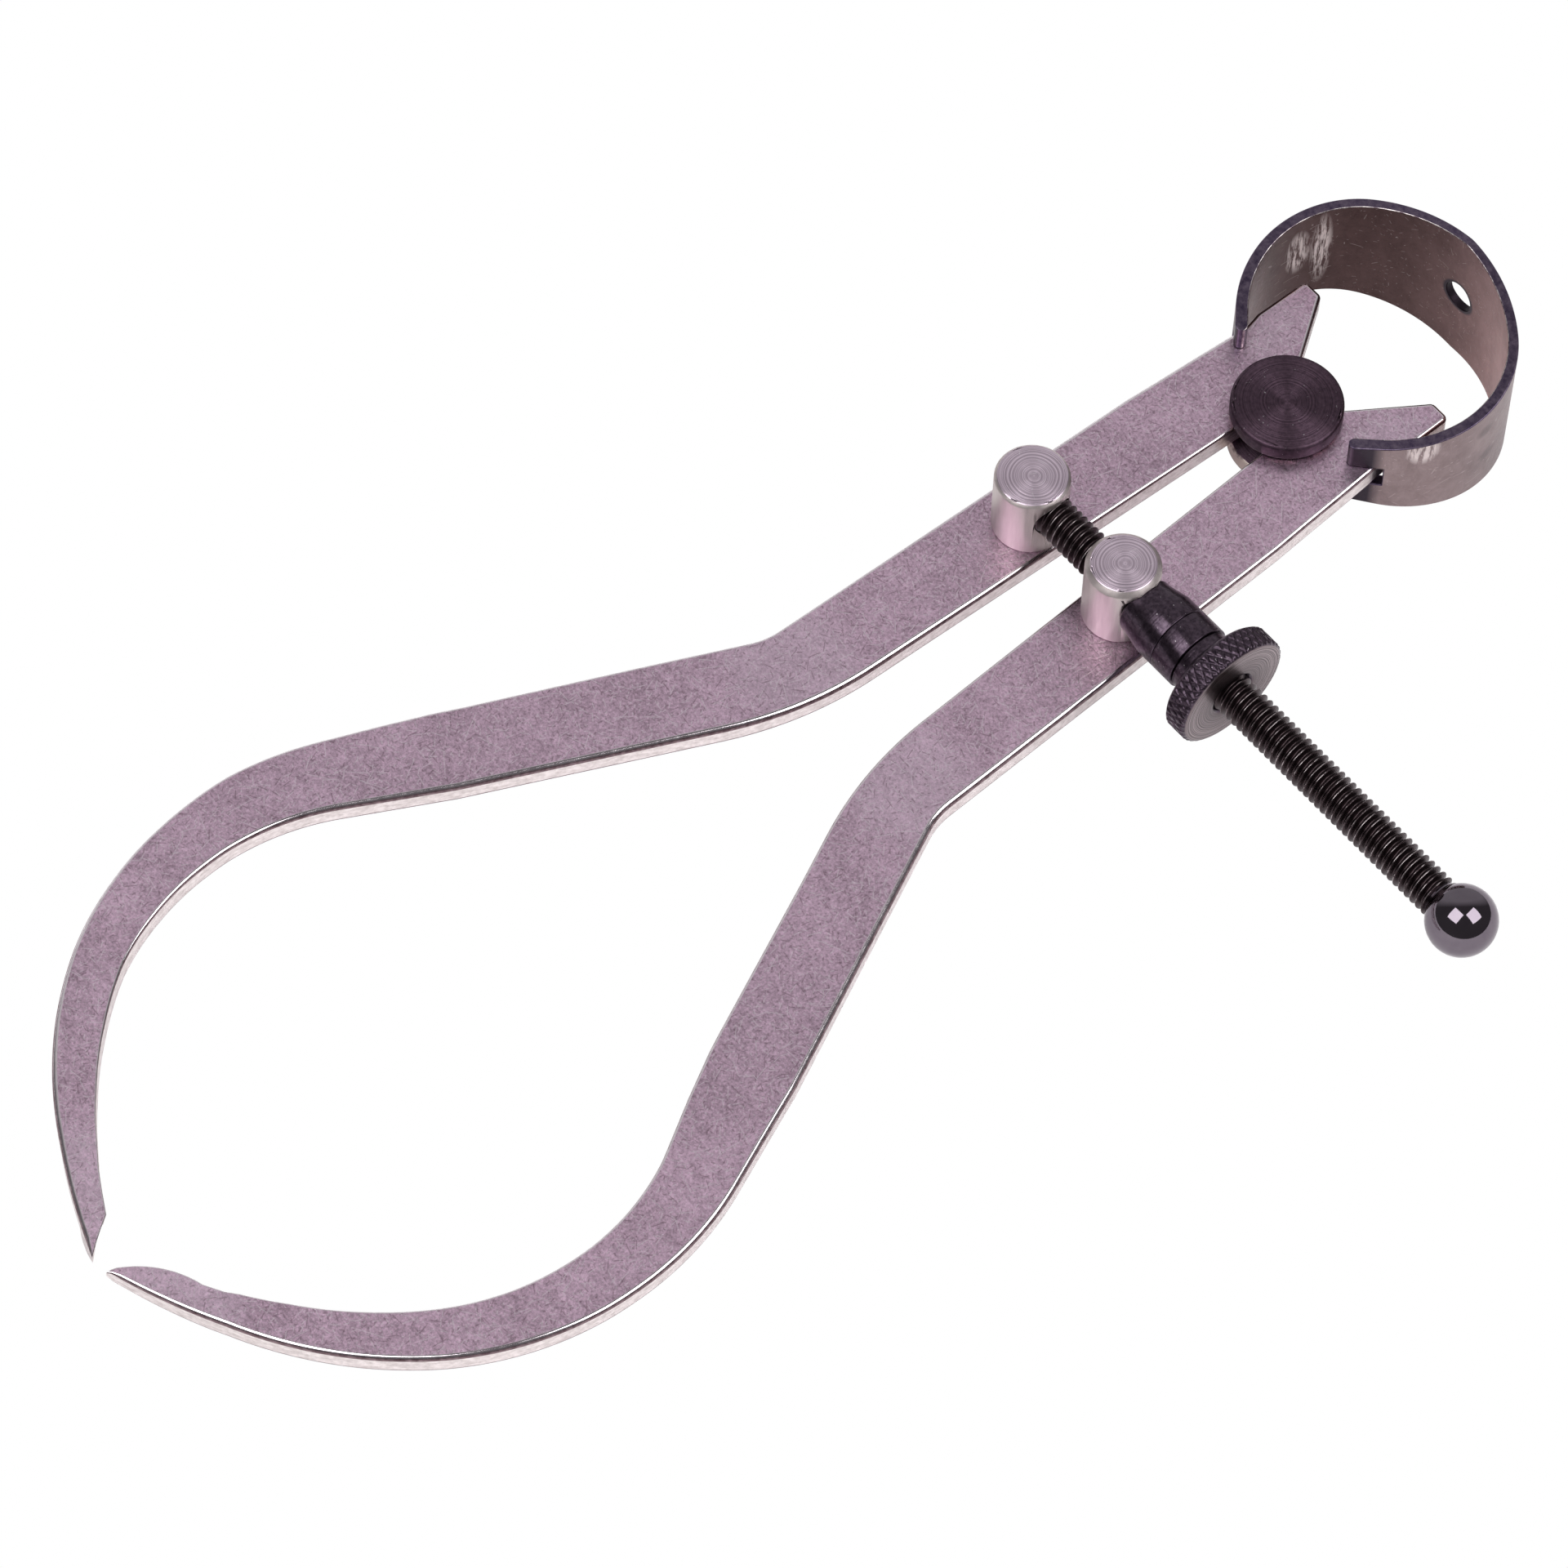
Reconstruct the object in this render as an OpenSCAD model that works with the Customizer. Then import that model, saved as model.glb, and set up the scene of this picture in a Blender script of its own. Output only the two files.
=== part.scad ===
// Outside spring caliper: two bowed legs on a fulcrum stud, held by a bow spring and set by a screw.
// The origin is on the fulcrum axis, on the underside of the stud. +Z is up, the points face -Y,
// the spring is at +Y and the ball end of the screw is at +X.

/* [Leg] */
// Width of the flat bar that the legs are made from
stock_w = 10.1; // [9:0.1:11]
// Thickness of the legs
leg_t = 2.8; // [2:0.1:4]
// Distance of a leg's centre line from the middle, beside the fulcrum
leg_offset = 6.9; // [6.2:0.1:8]
// Outward lean of the straight upper arm, in degrees
arm_lean = 2; // [0:0.5:4]
// Length of the straight upper arm below the fulcrum
arm_len = 54.5; // [48:0.5:68]
// Radius of the outward bend, on the centre line
bend_r = 39; // [30:1:50]
// Radius in the hollow of the bend, on the outer edge
bend_hollow_r = 9; // [5:1:20]
// Heading of the straight shank, in degrees outward
shank_angle = 25.3; // [20:0.1:28]
// Length of the straight shank
shank_len = 40.8; // [36:0.2:46]
// Radius of the upper part of the bow, on the centre line
bow_upper_r = 33.2; // [30:0.1:38]
// Radius of the lower part of the bow, on the centre line
bow_lower_r = 43.5; // [40:0.5:50]
// Heading where the upper part of the bow meets the lower, in degrees inward
bow_join_angle = 35; // [30:1:40]
// Heading where the bow meets the point, in degrees inward
bow_end_angle = 61; // [56:1:64]
// Width of the leg where the bow is widest
bow_w = 7.3; // [6.6:0.1:9]
// Width of the leg where the point begins
point_w = 4.5; // [3.4:0.1:5]

/* [Points] */
// Radius of the back of the point
point_back_r = 74; // [60:1:90]
// Length of the back of the point
point_back_len = 13.7; // [12:0.1:15]
// Length of the flat bevel on the left point
bevel_len = 4.7; // [4:0.1:6]
// Angle of the bevel from the length of the caliper, in degrees
bevel_angle = 34; // [30:1:40]
// Undercut of the bevel on the left point, in degrees
bevel_undercut = 10; // [0:1:15]
// Distance across the rounded pad on the right point
pad_len = 9.9; // [8:0.1:11]
// Angle of the pad from the length of the caliper, in degrees
pad_angle = 49; // [47:1:52]
// Radius of the rounded pad
pad_r = 11.5; // [9:0.5:16]

/* [Tail] */
// Height of the tails above the fulcrum axis
tail_h = 13.2; // [11:0.1:15]
// Width of the end of a tail
tail_w = 2.5; // [1.8:0.1:3.4]
// Angle of the inner edge of a tail, in degrees from the length of the caliper
tail_angle = 33.7; // [31:0.1:36]
// Rounding of the tail's corners
tail_round = 0.5; // [0.2:0.1:0.8]

/* [Fulcrum stud] */
// Diameter of both flanges of the stud
flange_d = 12.3; // [11:0.1:14]
// Thickness of each flange
flange_t = 2.1; // [1.6:0.1:3]
// Bevel on the flanges' rims
flange_bevel = 0.25; // [0.1:0.05:0.5]
// Diameter of the core that the legs bear on
core_d = 6.8; // [6:0.1:7.4]
// Gap between a leg and each flange
flange_play = 0.25; // [0.05:0.05:0.4]

/* [Posts] */
// Distance of the posts below the fulcrum axis
post_drop = 30.2; // [26:0.1:38]
// Distance of the posts from the middle at rest
post_offset = 7.26; // [6.6:0.02:8.2]
// Diameter of the posts
post_d = 8.2; // [7.2:0.1:9]
// Height of the left post above its leg
left_post_h = 8.8; // [8.6:0.1:10]
// Height of the right post above its leg
right_post_h = 9.25; // [8.9:0.05:10]
// Bevel on the top of the left post
left_post_bevel = 0.35; // [0.1:0.05:0.8]
// Bevel on the top of the right post
right_post_bevel = 0.6; // [0.1:0.05:0.8]
// Diameter of the shank that turns in the leg
shank_d = 4.4; // [3.6:0.1:5.4]
// Diameter of the riveted end under the leg
rivet_d = 6.4; // [5.8:0.1:7]
// Depth of the riveted end
rivet_h = 1; // [0.8:0.1:1.2]

/* [Screw] */
// Major diameter of the adjusting screw
screw_d = 4.7; // [4:0.1:5]
// Height of the screw's axis above the legs
screw_h = 5.3; // [4.8:0.1:5.4]
// Distance of the ball's centre from the middle at rest
ball_x = 60.1; // [56:0.1:70]
// Diameter of the ball
ball_d = 7.7; // [6.5:0.1:9]
// Depth of the screw's end in the left post, past the post's axis
screw_seat = 1.8; // [0.5:0.1:2.5]
// Diameter of the clear hole in the right post
clear_hole_d = 5.4; // [5.2:0.1:5.8]

/* [Nut] */
// Diameter of the nose where it seats in the post
nose_d = 6.7; // [6.4:0.1:7.2]
// Depth of the seat in the post
seat_depth = 1; // [0.4:0.1:1.4]
// Diameter of the nut's barrel
barrel_d = 7.8; // [7.4:0.1:9]
// Length of the nose's taper
nose_taper = 3.5; // [2:0.1:4.5]
// Length of the nose
nose_len = 5.8; // [4.5:0.1:7]
// Length of the plain sleeve
sleeve_len = 3.1; // [2:0.1:5]
// Length of the knurled nut's neck
neck_len = 1.3; // [0.8:0.1:2]
// Length of the cone that widens to the flange
cone_len = 1.2; // [0.8:0.1:2]
// Diameter of the knurled flange
knurl_d = 13.9; // [12:0.1:16]
// Thickness of the knurled flange
knurl_t = 3; // [2:0.1:4]
// Bevel on the knurled flange's rims
knurl_bevel = 0.35; // [0.2:0.05:0.6]

/* [Bow spring] */
// Thickness of the strip at the crown
crown_t = 1; // [0.8:0.05:1.4]
// Thickness of the strip at its ends
end_t = 1.4; // [0.9:0.05:1.7]
// Width of the strip at the crown
crown_w = 19.8; // [16:0.2:24]
// Width of the strip at its ends
end_w = 9.9; // [8:0.1:12]
// Radius of the spring's sides
side_r = 11.6; // [9.4:0.1:13.6]
// Turn of the crown before each side begins, in degrees
crown_turn = 37.5; // [34:0.5:46]
// Height of the spring's seats above the fulcrum axis
spring_seat_y = 3.45; // [3:0.05:5]
// Depth of the notch in the leg
notch_depth = 1; // [0.5:0.05:1.4]
// Length of the straight end past the middle of the notch
tine_len = 2.7; // [1.2:0.1:3.4]
// Gap between the forked end and the leg's faces
fork_gap = 0.15; // [0.05:0.05:0.25]
// Diameter of the hole in the crown for hanging
hang_hole_d = 3.8; // [3:0.1:5]

/* [Fits] */
// Radial clearance of parts that turn on each other
turning_fit = 0.05; // [0.02:0.01:0.1]
// Radial clearance between the screw and what is threaded on it
thread_fit = 0.05; // [0.02:0.01:0.1]
// Gap between seated faces
seat_gap = 0.05; // [0.02:0.01:0.1]
// Gap between the spring and its notch
notch_gap = 0.25; // [0.1:0.05:0.4]

/* [Hidden] */
$fn = 96;

steel = [0.66, 0.62, 0.66];
bright_steel = [0.78, 0.77, 0.79];
blacked = [0.2, 0.18, 0.2];
spring_black = [0.3, 0.27, 0.3];

// Largest turn of an outline between two of its points, in degrees
outline_step = 2.5;
spring_step = 4;
profile_step = 12;
// Extra depth of a cut past a face
past = 1;

leg_z = flange_t + flange_play;
leg_top = leg_z + leg_t;
leg_mid = leg_z + leg_t / 2;
stud_h = leg_top + flange_play + flange_t;
screw_z = leg_top + screw_h;
screw_end_x = -post_offset - screw_seat;

// Where the nut's pieces begin along the screw
nose_x = post_offset + post_d / 2 - seat_depth;
sleeve_x = nose_x + nose_len;
nut_x = sleeve_x + sleeve_len;

// A run is [length, turn]. A place is [x, y, heading, distance], and heading 0 faces -Y.
function straight(length) = [length, 0];
function arc(r, turn) = [r * abs(turn) * PI / 180, turn];

function place(run, from, u) =
    let (h = from[2] + run[1] * u)
    let (r = run[1] == 0 ? 0 : run[0] / run[1] * 180 / PI)
    run[1] == 0
        ? [from.x + run[0] * u * sin(h), from.y - run[0] * u * cos(h), h, from[3] + run[0] * u]
        : [from.x + r * (cos(from[2]) - cos(h)), from.y - r * (sin(h) - sin(from[2])), h, from[3] + run[0] * u];

function places(run, from, step) =
    let (n = max(1, ceil(abs(run[1]) / step)))
    [for (k = [1:n]) place(run, from, k / n)];

function walk(runs, from, step) = concat([from], walk_on(runs, from, step, 0));
function walk_on(runs, from, step, i) =
    let (part = places(runs[i], from, step))
    i == len(runs) - 1 ? part : concat(part, walk_on(runs, part[len(part) - 1], step, i + 1));

// The point beside a place, off to its outer side
function beside(p, off) = [p.x + off * cos(p[2]), p.y + off * sin(p[2])];
function reversed(list) = [for (i = [len(list) - 1:-1:0]) list[i]];
function last(list) = list[len(list) - 1];

// A rounded corner at b between the edges to a and c
function corner(a, b, c, r, steps = 5) =
    let (u = (a - b) / norm(a - b))
    let (v = (c - b) / norm(c - b))
    let (half = acos(u * v) / 2)
    let (centre = b + (u + v) / norm(u + v) * r / sin(half))
    let (from = b + u * r / tan(half) - centre)
    let (to = b + v * r / tan(half) - centre)
    [for (k = [0:steps]) let (w = from * (1 - k / steps) + to * k / steps) centre + w / norm(w) * r];

// The leg's centre line, from the end of the tail to where the point begins
function leg_path() =
    walk([straight(arm_len + tail_h / cos(arm_lean)),
          arc(bend_r, shank_angle - arm_lean),
          straight(shank_len),
          arc(bow_upper_r, -shank_angle - bow_join_angle),
          arc(bow_lower_r, bow_join_angle - bow_end_angle)],
         [leg_offset - tail_h * tan(arm_lean), tail_h, arm_lean, 0], outline_step);

// The leg keeps the bar's width down to the bow and narrows evenly on both halves of it
bend_start = arm_len + tail_h / cos(arm_lean);
bend_end = bend_start + arc(bend_r, shank_angle - arm_lean)[0];
bow_start = bend_end + shank_len * 0.7;
bow_middle = bow_start + shank_len * 0.3 + arc(bow_upper_r, shank_angle)[0];
bow_end = last(leg_path())[3];
function leg_half_w(s) = lookup(s, [[bow_start, stock_w], [bow_middle, bow_w], [bow_end, point_w]]) / 2;

function outer_part(from, to) = [for (p = leg_path()) if (p[3] >= from && p[3] <= to) beside(p, leg_half_w(p[3]))];
function outer_edge() =
    let (arm = outer_part(0, bend_start + 0.01))
    let (below = outer_part(bend_end - 0.01, bow_end))
    let (reach = (bend_r - stock_w / 2) * tan((shank_angle - arm_lean) / 2))
    let (hollow = last(arm) + reach * [sin(arm_lean), -cos(arm_lean)])
    concat([arm[0]], corner(arm[0], hollow, below[1], bend_hollow_r, 8), [for (i = [1:len(below) - 1]) below[i]]);
function inner_edge() = [for (p = leg_path()) beside(p, -leg_half_w(p[3]))];
function point_back() =
    let (p = last(leg_path()))
    let (start = beside(p, point_w / 2))
    [for (q = walk([arc(point_back_r, -point_back_len / point_back_r * 180 / PI)],
                   [start.x, start.y, p[2], 0], outline_step)) [q.x, q.y]];
the_point = last(point_back());

function bevel_face() = [the_point + bevel_len * [sin(bevel_angle), cos(bevel_angle)]];
// The pad is an arc over its chord, from the point to the hollow behind it
function pad_face() =
    let (half = asin(pad_len / 2 / pad_r))
    let (runs = [arc(pad_r, -2 * half)])
    [for (q = walk(runs, [the_point.x, the_point.y, 180 - pad_angle + half, 0], 4)) if (q[3] > 0) [q.x, q.y]];

// Inner edge of the arm, at a height above the fulcrum axis
function arm_inner_x(y) = leg_offset - y * tan(arm_lean) - stock_w / 2 / cos(arm_lean);
function arm_outer_x(y) = leg_offset - y * tan(arm_lean) + stock_w / 2 / cos(arm_lean);
tail_inner = [arm_outer_x(tail_h) - tail_w, tail_h];
tail_outer = [arm_outer_x(tail_h), tail_h];
crotch_y = (arm_inner_x(0) - tail_inner.x + tail_h * tan(tail_angle)) / (tan(tail_angle) + tan(arm_lean));
crotch = [arm_inner_x(crotch_y), crotch_y];

function tail_end() =
    concat(corner(crotch, tail_inner, tail_outer, tail_round),
           corner(tail_inner, tail_outer, outer_edge()[1], tail_round));

module leg_outline(face) {
    below = [for (p = inner_edge()) if (p.y < crotch_y - 0.1) p];
    outer = [for (i = [1:len(outer_edge()) - 2]) outer_edge()[i]];
    polygon(concat(tail_end(), outer, point_back(), face, reversed(below), [crotch]));
}

// The spring lies in the notch where its centre line crosses this line
notch_x = arm_outer_x(spring_seat_y) - notch_depth;
spring_seat_x = notch_x + notch_depth / 2;
side_end = -15;
seat_heading = -48;
end_r = 13.2;

module leg(face) {
    difference() {
        translate([0, 0, leg_z]) linear_extrude(leg_t) leg_outline(face);
        translate([0, 0, leg_z - past]) cylinder(d = core_d + 2 * turning_fit, h = leg_t + 2 * past);
        translate([notch_x, spring_seat_y - notch_h / 2, leg_z - past])
            cube([notch_depth + past, notch_h, leg_t + 2 * past]);
        translate([post_offset, -post_drop, leg_z - past]) {
            cylinder(d = shank_d + 2 * turning_fit, h = leg_t + 2 * past);
            cylinder(d = rivet_d + 2 * turning_fit, h = past);
            translate([0, 0, past]) cylinder(d1 = rivet_d + 2 * turning_fit, d2 = shank_d + 2 * turning_fit, h = rivet_h);
        }
    }
}

// The bevel leans back from its upper edge
module left_leg() {
    color(steel) mirror([1, 0, 0]) difference() {
        leg(bevel_face());
        translate([the_point.x, the_point.y, leg_top]) rotate([0, 0, -bevel_angle]) rotate([0, bevel_undercut, 0])
            translate([-bevel_len, -bevel_len, -2 * leg_t]) cube([bevel_len, 3 * bevel_len, 2 * leg_t]);
    }
}

module right_leg() {
    color(steel) leg(pad_face());
}

// A spool: two flanges and the core that both legs bear on
module fulcrum_stud() {
    r = flange_d / 2;
    b = flange_bevel;
    color(blacked) rotate_extrude() polygon([
        [0, 0], [r - b, 0], [r, b], [r, flange_t - b], [r - b, flange_t],
        [core_d / 2, flange_t], [core_d / 2, stud_h - flange_t],
        [r - b, stud_h - flange_t], [r, stud_h - flange_t + b], [r, stud_h - b], [r - b, stud_h], [0, stud_h]]);
}

// A swivelling post: body above the leg, shank through it and a riveted end in the countersink
module post_body(height, bevel) {
    base = leg_top + seat_gap;
    r = post_d / 2;
    shank_r = shank_d / 2;
    top = leg_top + height;
    rotate_extrude() polygon([
        [0, leg_z], [rivet_d / 2, leg_z], [shank_r, leg_z + rivet_h - seat_gap], [shank_r, base],
        [r, base], [r, top - bevel], [r - bevel, top], [0, top]]);
}

module along_screw(x) {
    translate([x, -post_drop, screw_z]) rotate([0, 90, 0]) children();
}

// The screw is fast in this post
module left_post() {
    color(bright_steel) difference() {
        translate([-post_offset, -post_drop, 0]) post_body(left_post_h, left_post_bevel);
        along_screw(screw_end_x - seat_gap) cylinder(d = screw_d + 2 * thread_fit, h = post_d);
    }
}

// The screw passes this post freely, and the nut's nose seats in its outer side
module right_post() {
    color(bright_steel) difference() {
        translate([post_offset, -post_drop, 0]) post_body(right_post_h, right_post_bevel);
        along_screw(post_offset - post_d) cylinder(d = clear_hole_d, h = 2 * post_d);
        along_screw(nose_x - seat_gap) cylinder(d = nose_d + 2 * turning_fit, h = post_d);
    }
}

ball_seat = sqrt(pow(ball_d / 2, 2) - pow(screw_d / 2, 2));

module adjusting_screw() {
    color(blacked) along_screw(screw_end_x) cylinder(d = screw_d, h = ball_x - ball_seat / 2 - screw_end_x);
}

module ball_knob() {
    color(blacked) difference() {
        along_screw(ball_x) sphere(d = ball_d);
        along_screw(ball_x - ball_d) cylinder(d = screw_d + 2 * thread_fit, h = ball_d - ball_seat / 2 + seat_gap);
    }
}

module nut_bore(x, length) {
    along_screw(x - past) cylinder(d = screw_d + 2 * thread_fit, h = length + 2 * past);
}

module nut_nose() {
    r = barrel_d / 2;
    color(blacked) difference() {
        along_screw(nose_x) rotate_extrude() polygon([
            [0, 0], [nose_d / 2 - knurl_bevel, 0], [nose_d / 2, knurl_bevel], [nose_d / 2, seat_depth],
            [r, nose_taper], [r, nose_len], [0, nose_len]]);
        nut_bore(nose_x, nose_len);
    }
}

module nut_sleeve() {
    color(blacked) difference() {
        along_screw(sleeve_x + seat_gap) cylinder(d = barrel_d, h = sleeve_len - seat_gap);
        nut_bore(sleeve_x, sleeve_len);
    }
}

module knurled_nut() {
    neck_r = barrel_d / 2 - 0.2;
    r = knurl_d / 2;
    flange_x = neck_len + cone_len;
    end_x = flange_x + knurl_t;
    b = knurl_bevel;
    color(blacked) difference() {
        along_screw(nut_x + seat_gap) rotate_extrude() polygon([
            [0, 0], [neck_r, 0], [neck_r, neck_len], [r - b, flange_x], [r, flange_x + b],
            [r, end_x - b], [r - b, end_x], [0, end_x]]);
        nut_bore(nut_x, end_x);
    }
}

// The spring's centre line, from the crown to its right end
crown_heading = 90 - crown_turn;
crown_r = (spring_seat_x - side_r * (cos(side_end) - cos(crown_heading))
           - end_r * (cos(seat_heading) - cos(side_end))) / cos(crown_heading);
crown_y = spring_seat_y + crown_r * (1 - sin(crown_heading)) + side_r * (sin(crown_heading) - sin(side_end))
          + end_r * (sin(side_end) - sin(seat_heading));

function spring_path(step) =
    walk([arc(crown_r, -crown_turn),
          arc(side_r, side_end - crown_heading),
          arc(end_r, seat_heading - side_end),
          straight(tine_len)],
         [0, crown_y, 90, 0], step);
spring_len = last(spring_path(spring_step))[3];
function strip_half_w(s) = (crown_w + (end_w - crown_w) * s / spring_len) / 2;
function strip_half_t(s) = (crown_t + (end_t - crown_t) * s / spring_len) / 2;
// Height of the notch: the strip's slanted thickness and a gap at both sides
seat_t = 2 * strip_half_t(spring_len - tine_len);
notch_h = (seat_t + notch_depth * abs(cos(seat_heading))) / abs(sin(seat_heading)) + 2 * notch_gap;

// Points round the strip's end, between its two faces
function round_end(p, steps = 6) =
    [for (k = [1:steps - 1]) let (a = 180 * k / steps)
        [p.x, p.y] + end_t / 2 * (cos(a) * [cos(p[2]), sin(p[2])] + sin(a) * [sin(p[2]), -cos(p[2])])];

module strip() {
    p = spring_path(spring_step);
    half = concat([for (q = p) beside(q, strip_half_t(q[3]))], round_end(last(p)),
                  reversed([for (q = p) beside(q, -strip_half_t(q[3]))]));
    polygon(concat(half, [for (i = [len(half) - 2:-1:1]) [-half[i].x, half[i].y]]));
}

// Side view of the strip: as wide as it is at each height
module strip_profile() {
    p = spring_path(profile_step);
    top = concat([[crown_y + past, crown_w / 2]], [for (q = p) [q.y, strip_half_w(q[3])]],
                 [[last(p).y - past, end_w / 2]]);
    polygon(concat(top, reversed([for (q = top) [q.x, -q.y]])));
}

module bow_spring() {
    fork_x = notch_x + notch_gap;
    fork_y = spring_seat_y + notch_h;
    fork_h = leg_t + 2 * fork_gap;
    color(spring_black) difference() {
        intersection() {
            translate([0, 0, leg_mid - crown_w]) linear_extrude(2 * crown_w) strip();
            translate([0, 0, leg_mid]) rotate([90, 0, 90]) linear_extrude(8 * side_r, center = true) strip_profile();
        }
        translate([-fork_x, -spring_seat_y, leg_mid - fork_h / 2]) cube([2 * fork_x, spring_seat_y + fork_y, fork_h]);
        translate([0, crown_y, leg_mid]) rotate([90, 0, 0])
            cylinder(d = hang_hole_d, h = crown_t + 2 * past, center = true);
    }
}

left_leg();
right_leg();
bow_spring();
fulcrum_stud();
left_post();
right_post();
adjusting_screw();
ball_knob();
nut_nose();
nut_sleeve();
knurled_nut();
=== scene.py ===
"""Outside spring caliper: its looks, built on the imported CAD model. Lengths are in mm unless named."""
import math

import bmesh
import bpy
import numpy as np
from mathutils import Matrix, Vector
from mathutils.geometry import tessellate_polygon

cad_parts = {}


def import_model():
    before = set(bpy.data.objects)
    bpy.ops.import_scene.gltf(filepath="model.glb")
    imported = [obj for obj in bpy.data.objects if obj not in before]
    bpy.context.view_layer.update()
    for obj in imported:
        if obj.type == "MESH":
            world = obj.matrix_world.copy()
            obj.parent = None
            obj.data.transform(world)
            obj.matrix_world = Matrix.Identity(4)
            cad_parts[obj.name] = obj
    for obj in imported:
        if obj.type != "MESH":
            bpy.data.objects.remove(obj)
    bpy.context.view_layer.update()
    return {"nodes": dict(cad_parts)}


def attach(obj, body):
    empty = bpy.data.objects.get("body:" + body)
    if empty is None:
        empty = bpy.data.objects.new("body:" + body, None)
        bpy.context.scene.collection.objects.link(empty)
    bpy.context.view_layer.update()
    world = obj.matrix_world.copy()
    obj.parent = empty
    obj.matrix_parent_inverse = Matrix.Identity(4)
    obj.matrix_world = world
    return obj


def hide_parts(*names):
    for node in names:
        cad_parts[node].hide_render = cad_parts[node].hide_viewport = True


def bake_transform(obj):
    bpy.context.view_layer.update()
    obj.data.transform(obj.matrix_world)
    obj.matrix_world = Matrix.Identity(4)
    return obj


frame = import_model()
MM = 0.001
TO_MM = 1000.0

# Sizes that part.scad gives the pieces that are rebuilt here
LEG_T = 2.8
LEG_MID = 3.75
POST_X, POST_Y = 7.26, -30.2
SCREW_Z = 10.45
SCREW_R = 2.35
SCREW_END = -9.06
PITCH = 0.862
BALL_X, BALL_R = 60.1, 3.85
NUT_X = 19.31
NUT_END = 24.81
NECK_R = 3.7
FLANGE_R, FLANGE_W = 6.95, 3.0
POST_HOLE_R, HANG_R, SEAT_R = 3.23, 1.9, 3.45

# The camera that fits the photo: its place in metres, its own axes and its lens
CAMERA_AT = (0.3243, -0.3609, 0.73715)
VIEW_RIGHT = Vector((0.644, 0.76481, 0.01824))
VIEW_UP = Vector((-0.66409, 0.54704, 0.50964))
VIEW_BACK = Vector((0.3798, -0.34032, 0.86019))
CAMERA_LENS = 187.5

# Where the caliper touches the floor: the bow's lower edge and the undersides of the points
BOW_BACK_Y, BOW_LOW_Z = 26.33, -6.15
POINT_Y, POINT_LOW_Z = -160.03, 2.35


# Camera, floor and light

def camera():
    data = bpy.data.cameras.new("camera")
    data.sensor_width = 36
    data.lens = CAMERA_LENS
    data.clip_start, data.clip_end = 0.05, 20
    turn = Matrix((VIEW_RIGHT, VIEW_UP, VIEW_BACK)).transposed().to_4x4()
    cam = bpy.data.objects.new("camera", data)
    cam.matrix_world = Matrix.Translation(CAMERA_AT) @ turn
    bpy.context.scene.collection.objects.link(cam)
    bpy.context.scene.camera = cam


def node(tree, kind, ins=None, **props):
    made = tree.nodes.new("ShaderNode" + kind)
    for key, value in props.items():
        setattr(made, key, value)
    for key, value in (ins or {}).items():
        socket = made.inputs[key]
        if isinstance(value, bpy.types.NodeSocket):
            tree.links.new(value, socket)
        else:
            socket.default_value = value
    return made


def floor():
    """A pale plane on which the spring's lower edge and the points rest."""
    tilt = -math.atan2(POINT_LOW_Z - BOW_LOW_Z, BOW_BACK_Y - POINT_Y)
    mesh = bpy.data.meshes.new("floor")
    s = 4
    mesh.from_pydata([(-s, -s, 0), (s, -s, 0), (s, s, 0), (-s, s, 0)], [], [(0, 1, 2, 3)])
    obj = bpy.data.objects.new("floor", mesh)
    touch = Matrix.Translation((0, BOW_BACK_Y * MM, BOW_LOW_Z * MM))
    obj.matrix_world = touch @ Matrix.Rotation(tilt, 4, "X")
    bpy.context.scene.collection.objects.link(obj)
    mat = bpy.data.materials.new("pale_floor")
    mat.use_nodes = True
    tree = mat.node_tree
    tree.nodes.clear()
    path = node(tree, "LightPath")
    by_camera, in_gloss = path.outputs["Is Camera Ray"], path.outputs["Is Glossy Ray"]
    diffuse = node(tree, "BsdfDiffuse", {"Color": (0.9, 0.89, 0.9, 1)})
    glow = node(tree, "Emission", {"Color": (0.17, 0.165, 0.165, 1), "Strength": in_gloss})
    lit = node(tree, "AddShader", {0: diffuse.outputs[0], 1: glow.outputs[0]})
    white = node(tree, "Emission", {"Color": (1, 1, 1, 1), "Strength": 1.0})
    mixed = node(tree, "MixShader", {0: by_camera, 1: lit.outputs[0], 2: white.outputs[0]})
    node(tree, "OutputMaterial", {"Surface": mixed.outputs[0]})
    mesh.materials.append(mat)


def softbox(name, direction, distance, side, radiance):
    """A square lamp, turned so that the ball's glint stands on a corner as in the photo."""
    data = bpy.data.lights.new(name, "AREA")
    data.shape = "SQUARE"
    data.size = side
    data.energy = radiance * math.pi * side * side
    data.color = (1, 0.985, 1)
    away = Vector(direction).normalized()
    place = Vector((BALL_X * MM, POST_Y * MM, SCREW_Z * MM)) + away * distance
    side_axis = VIEW_RIGHT.cross(away).normalized()
    turn = Matrix((side_axis.cross(away), side_axis, away)).transposed().to_4x4()
    lamp = bpy.data.objects.new(name, data)
    lamp.matrix_world = Matrix.Translation(place) @ turn @ Matrix.Rotation(math.radians(45), 4, "Z")
    bpy.context.scene.collection.objects.link(lamp)


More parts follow.
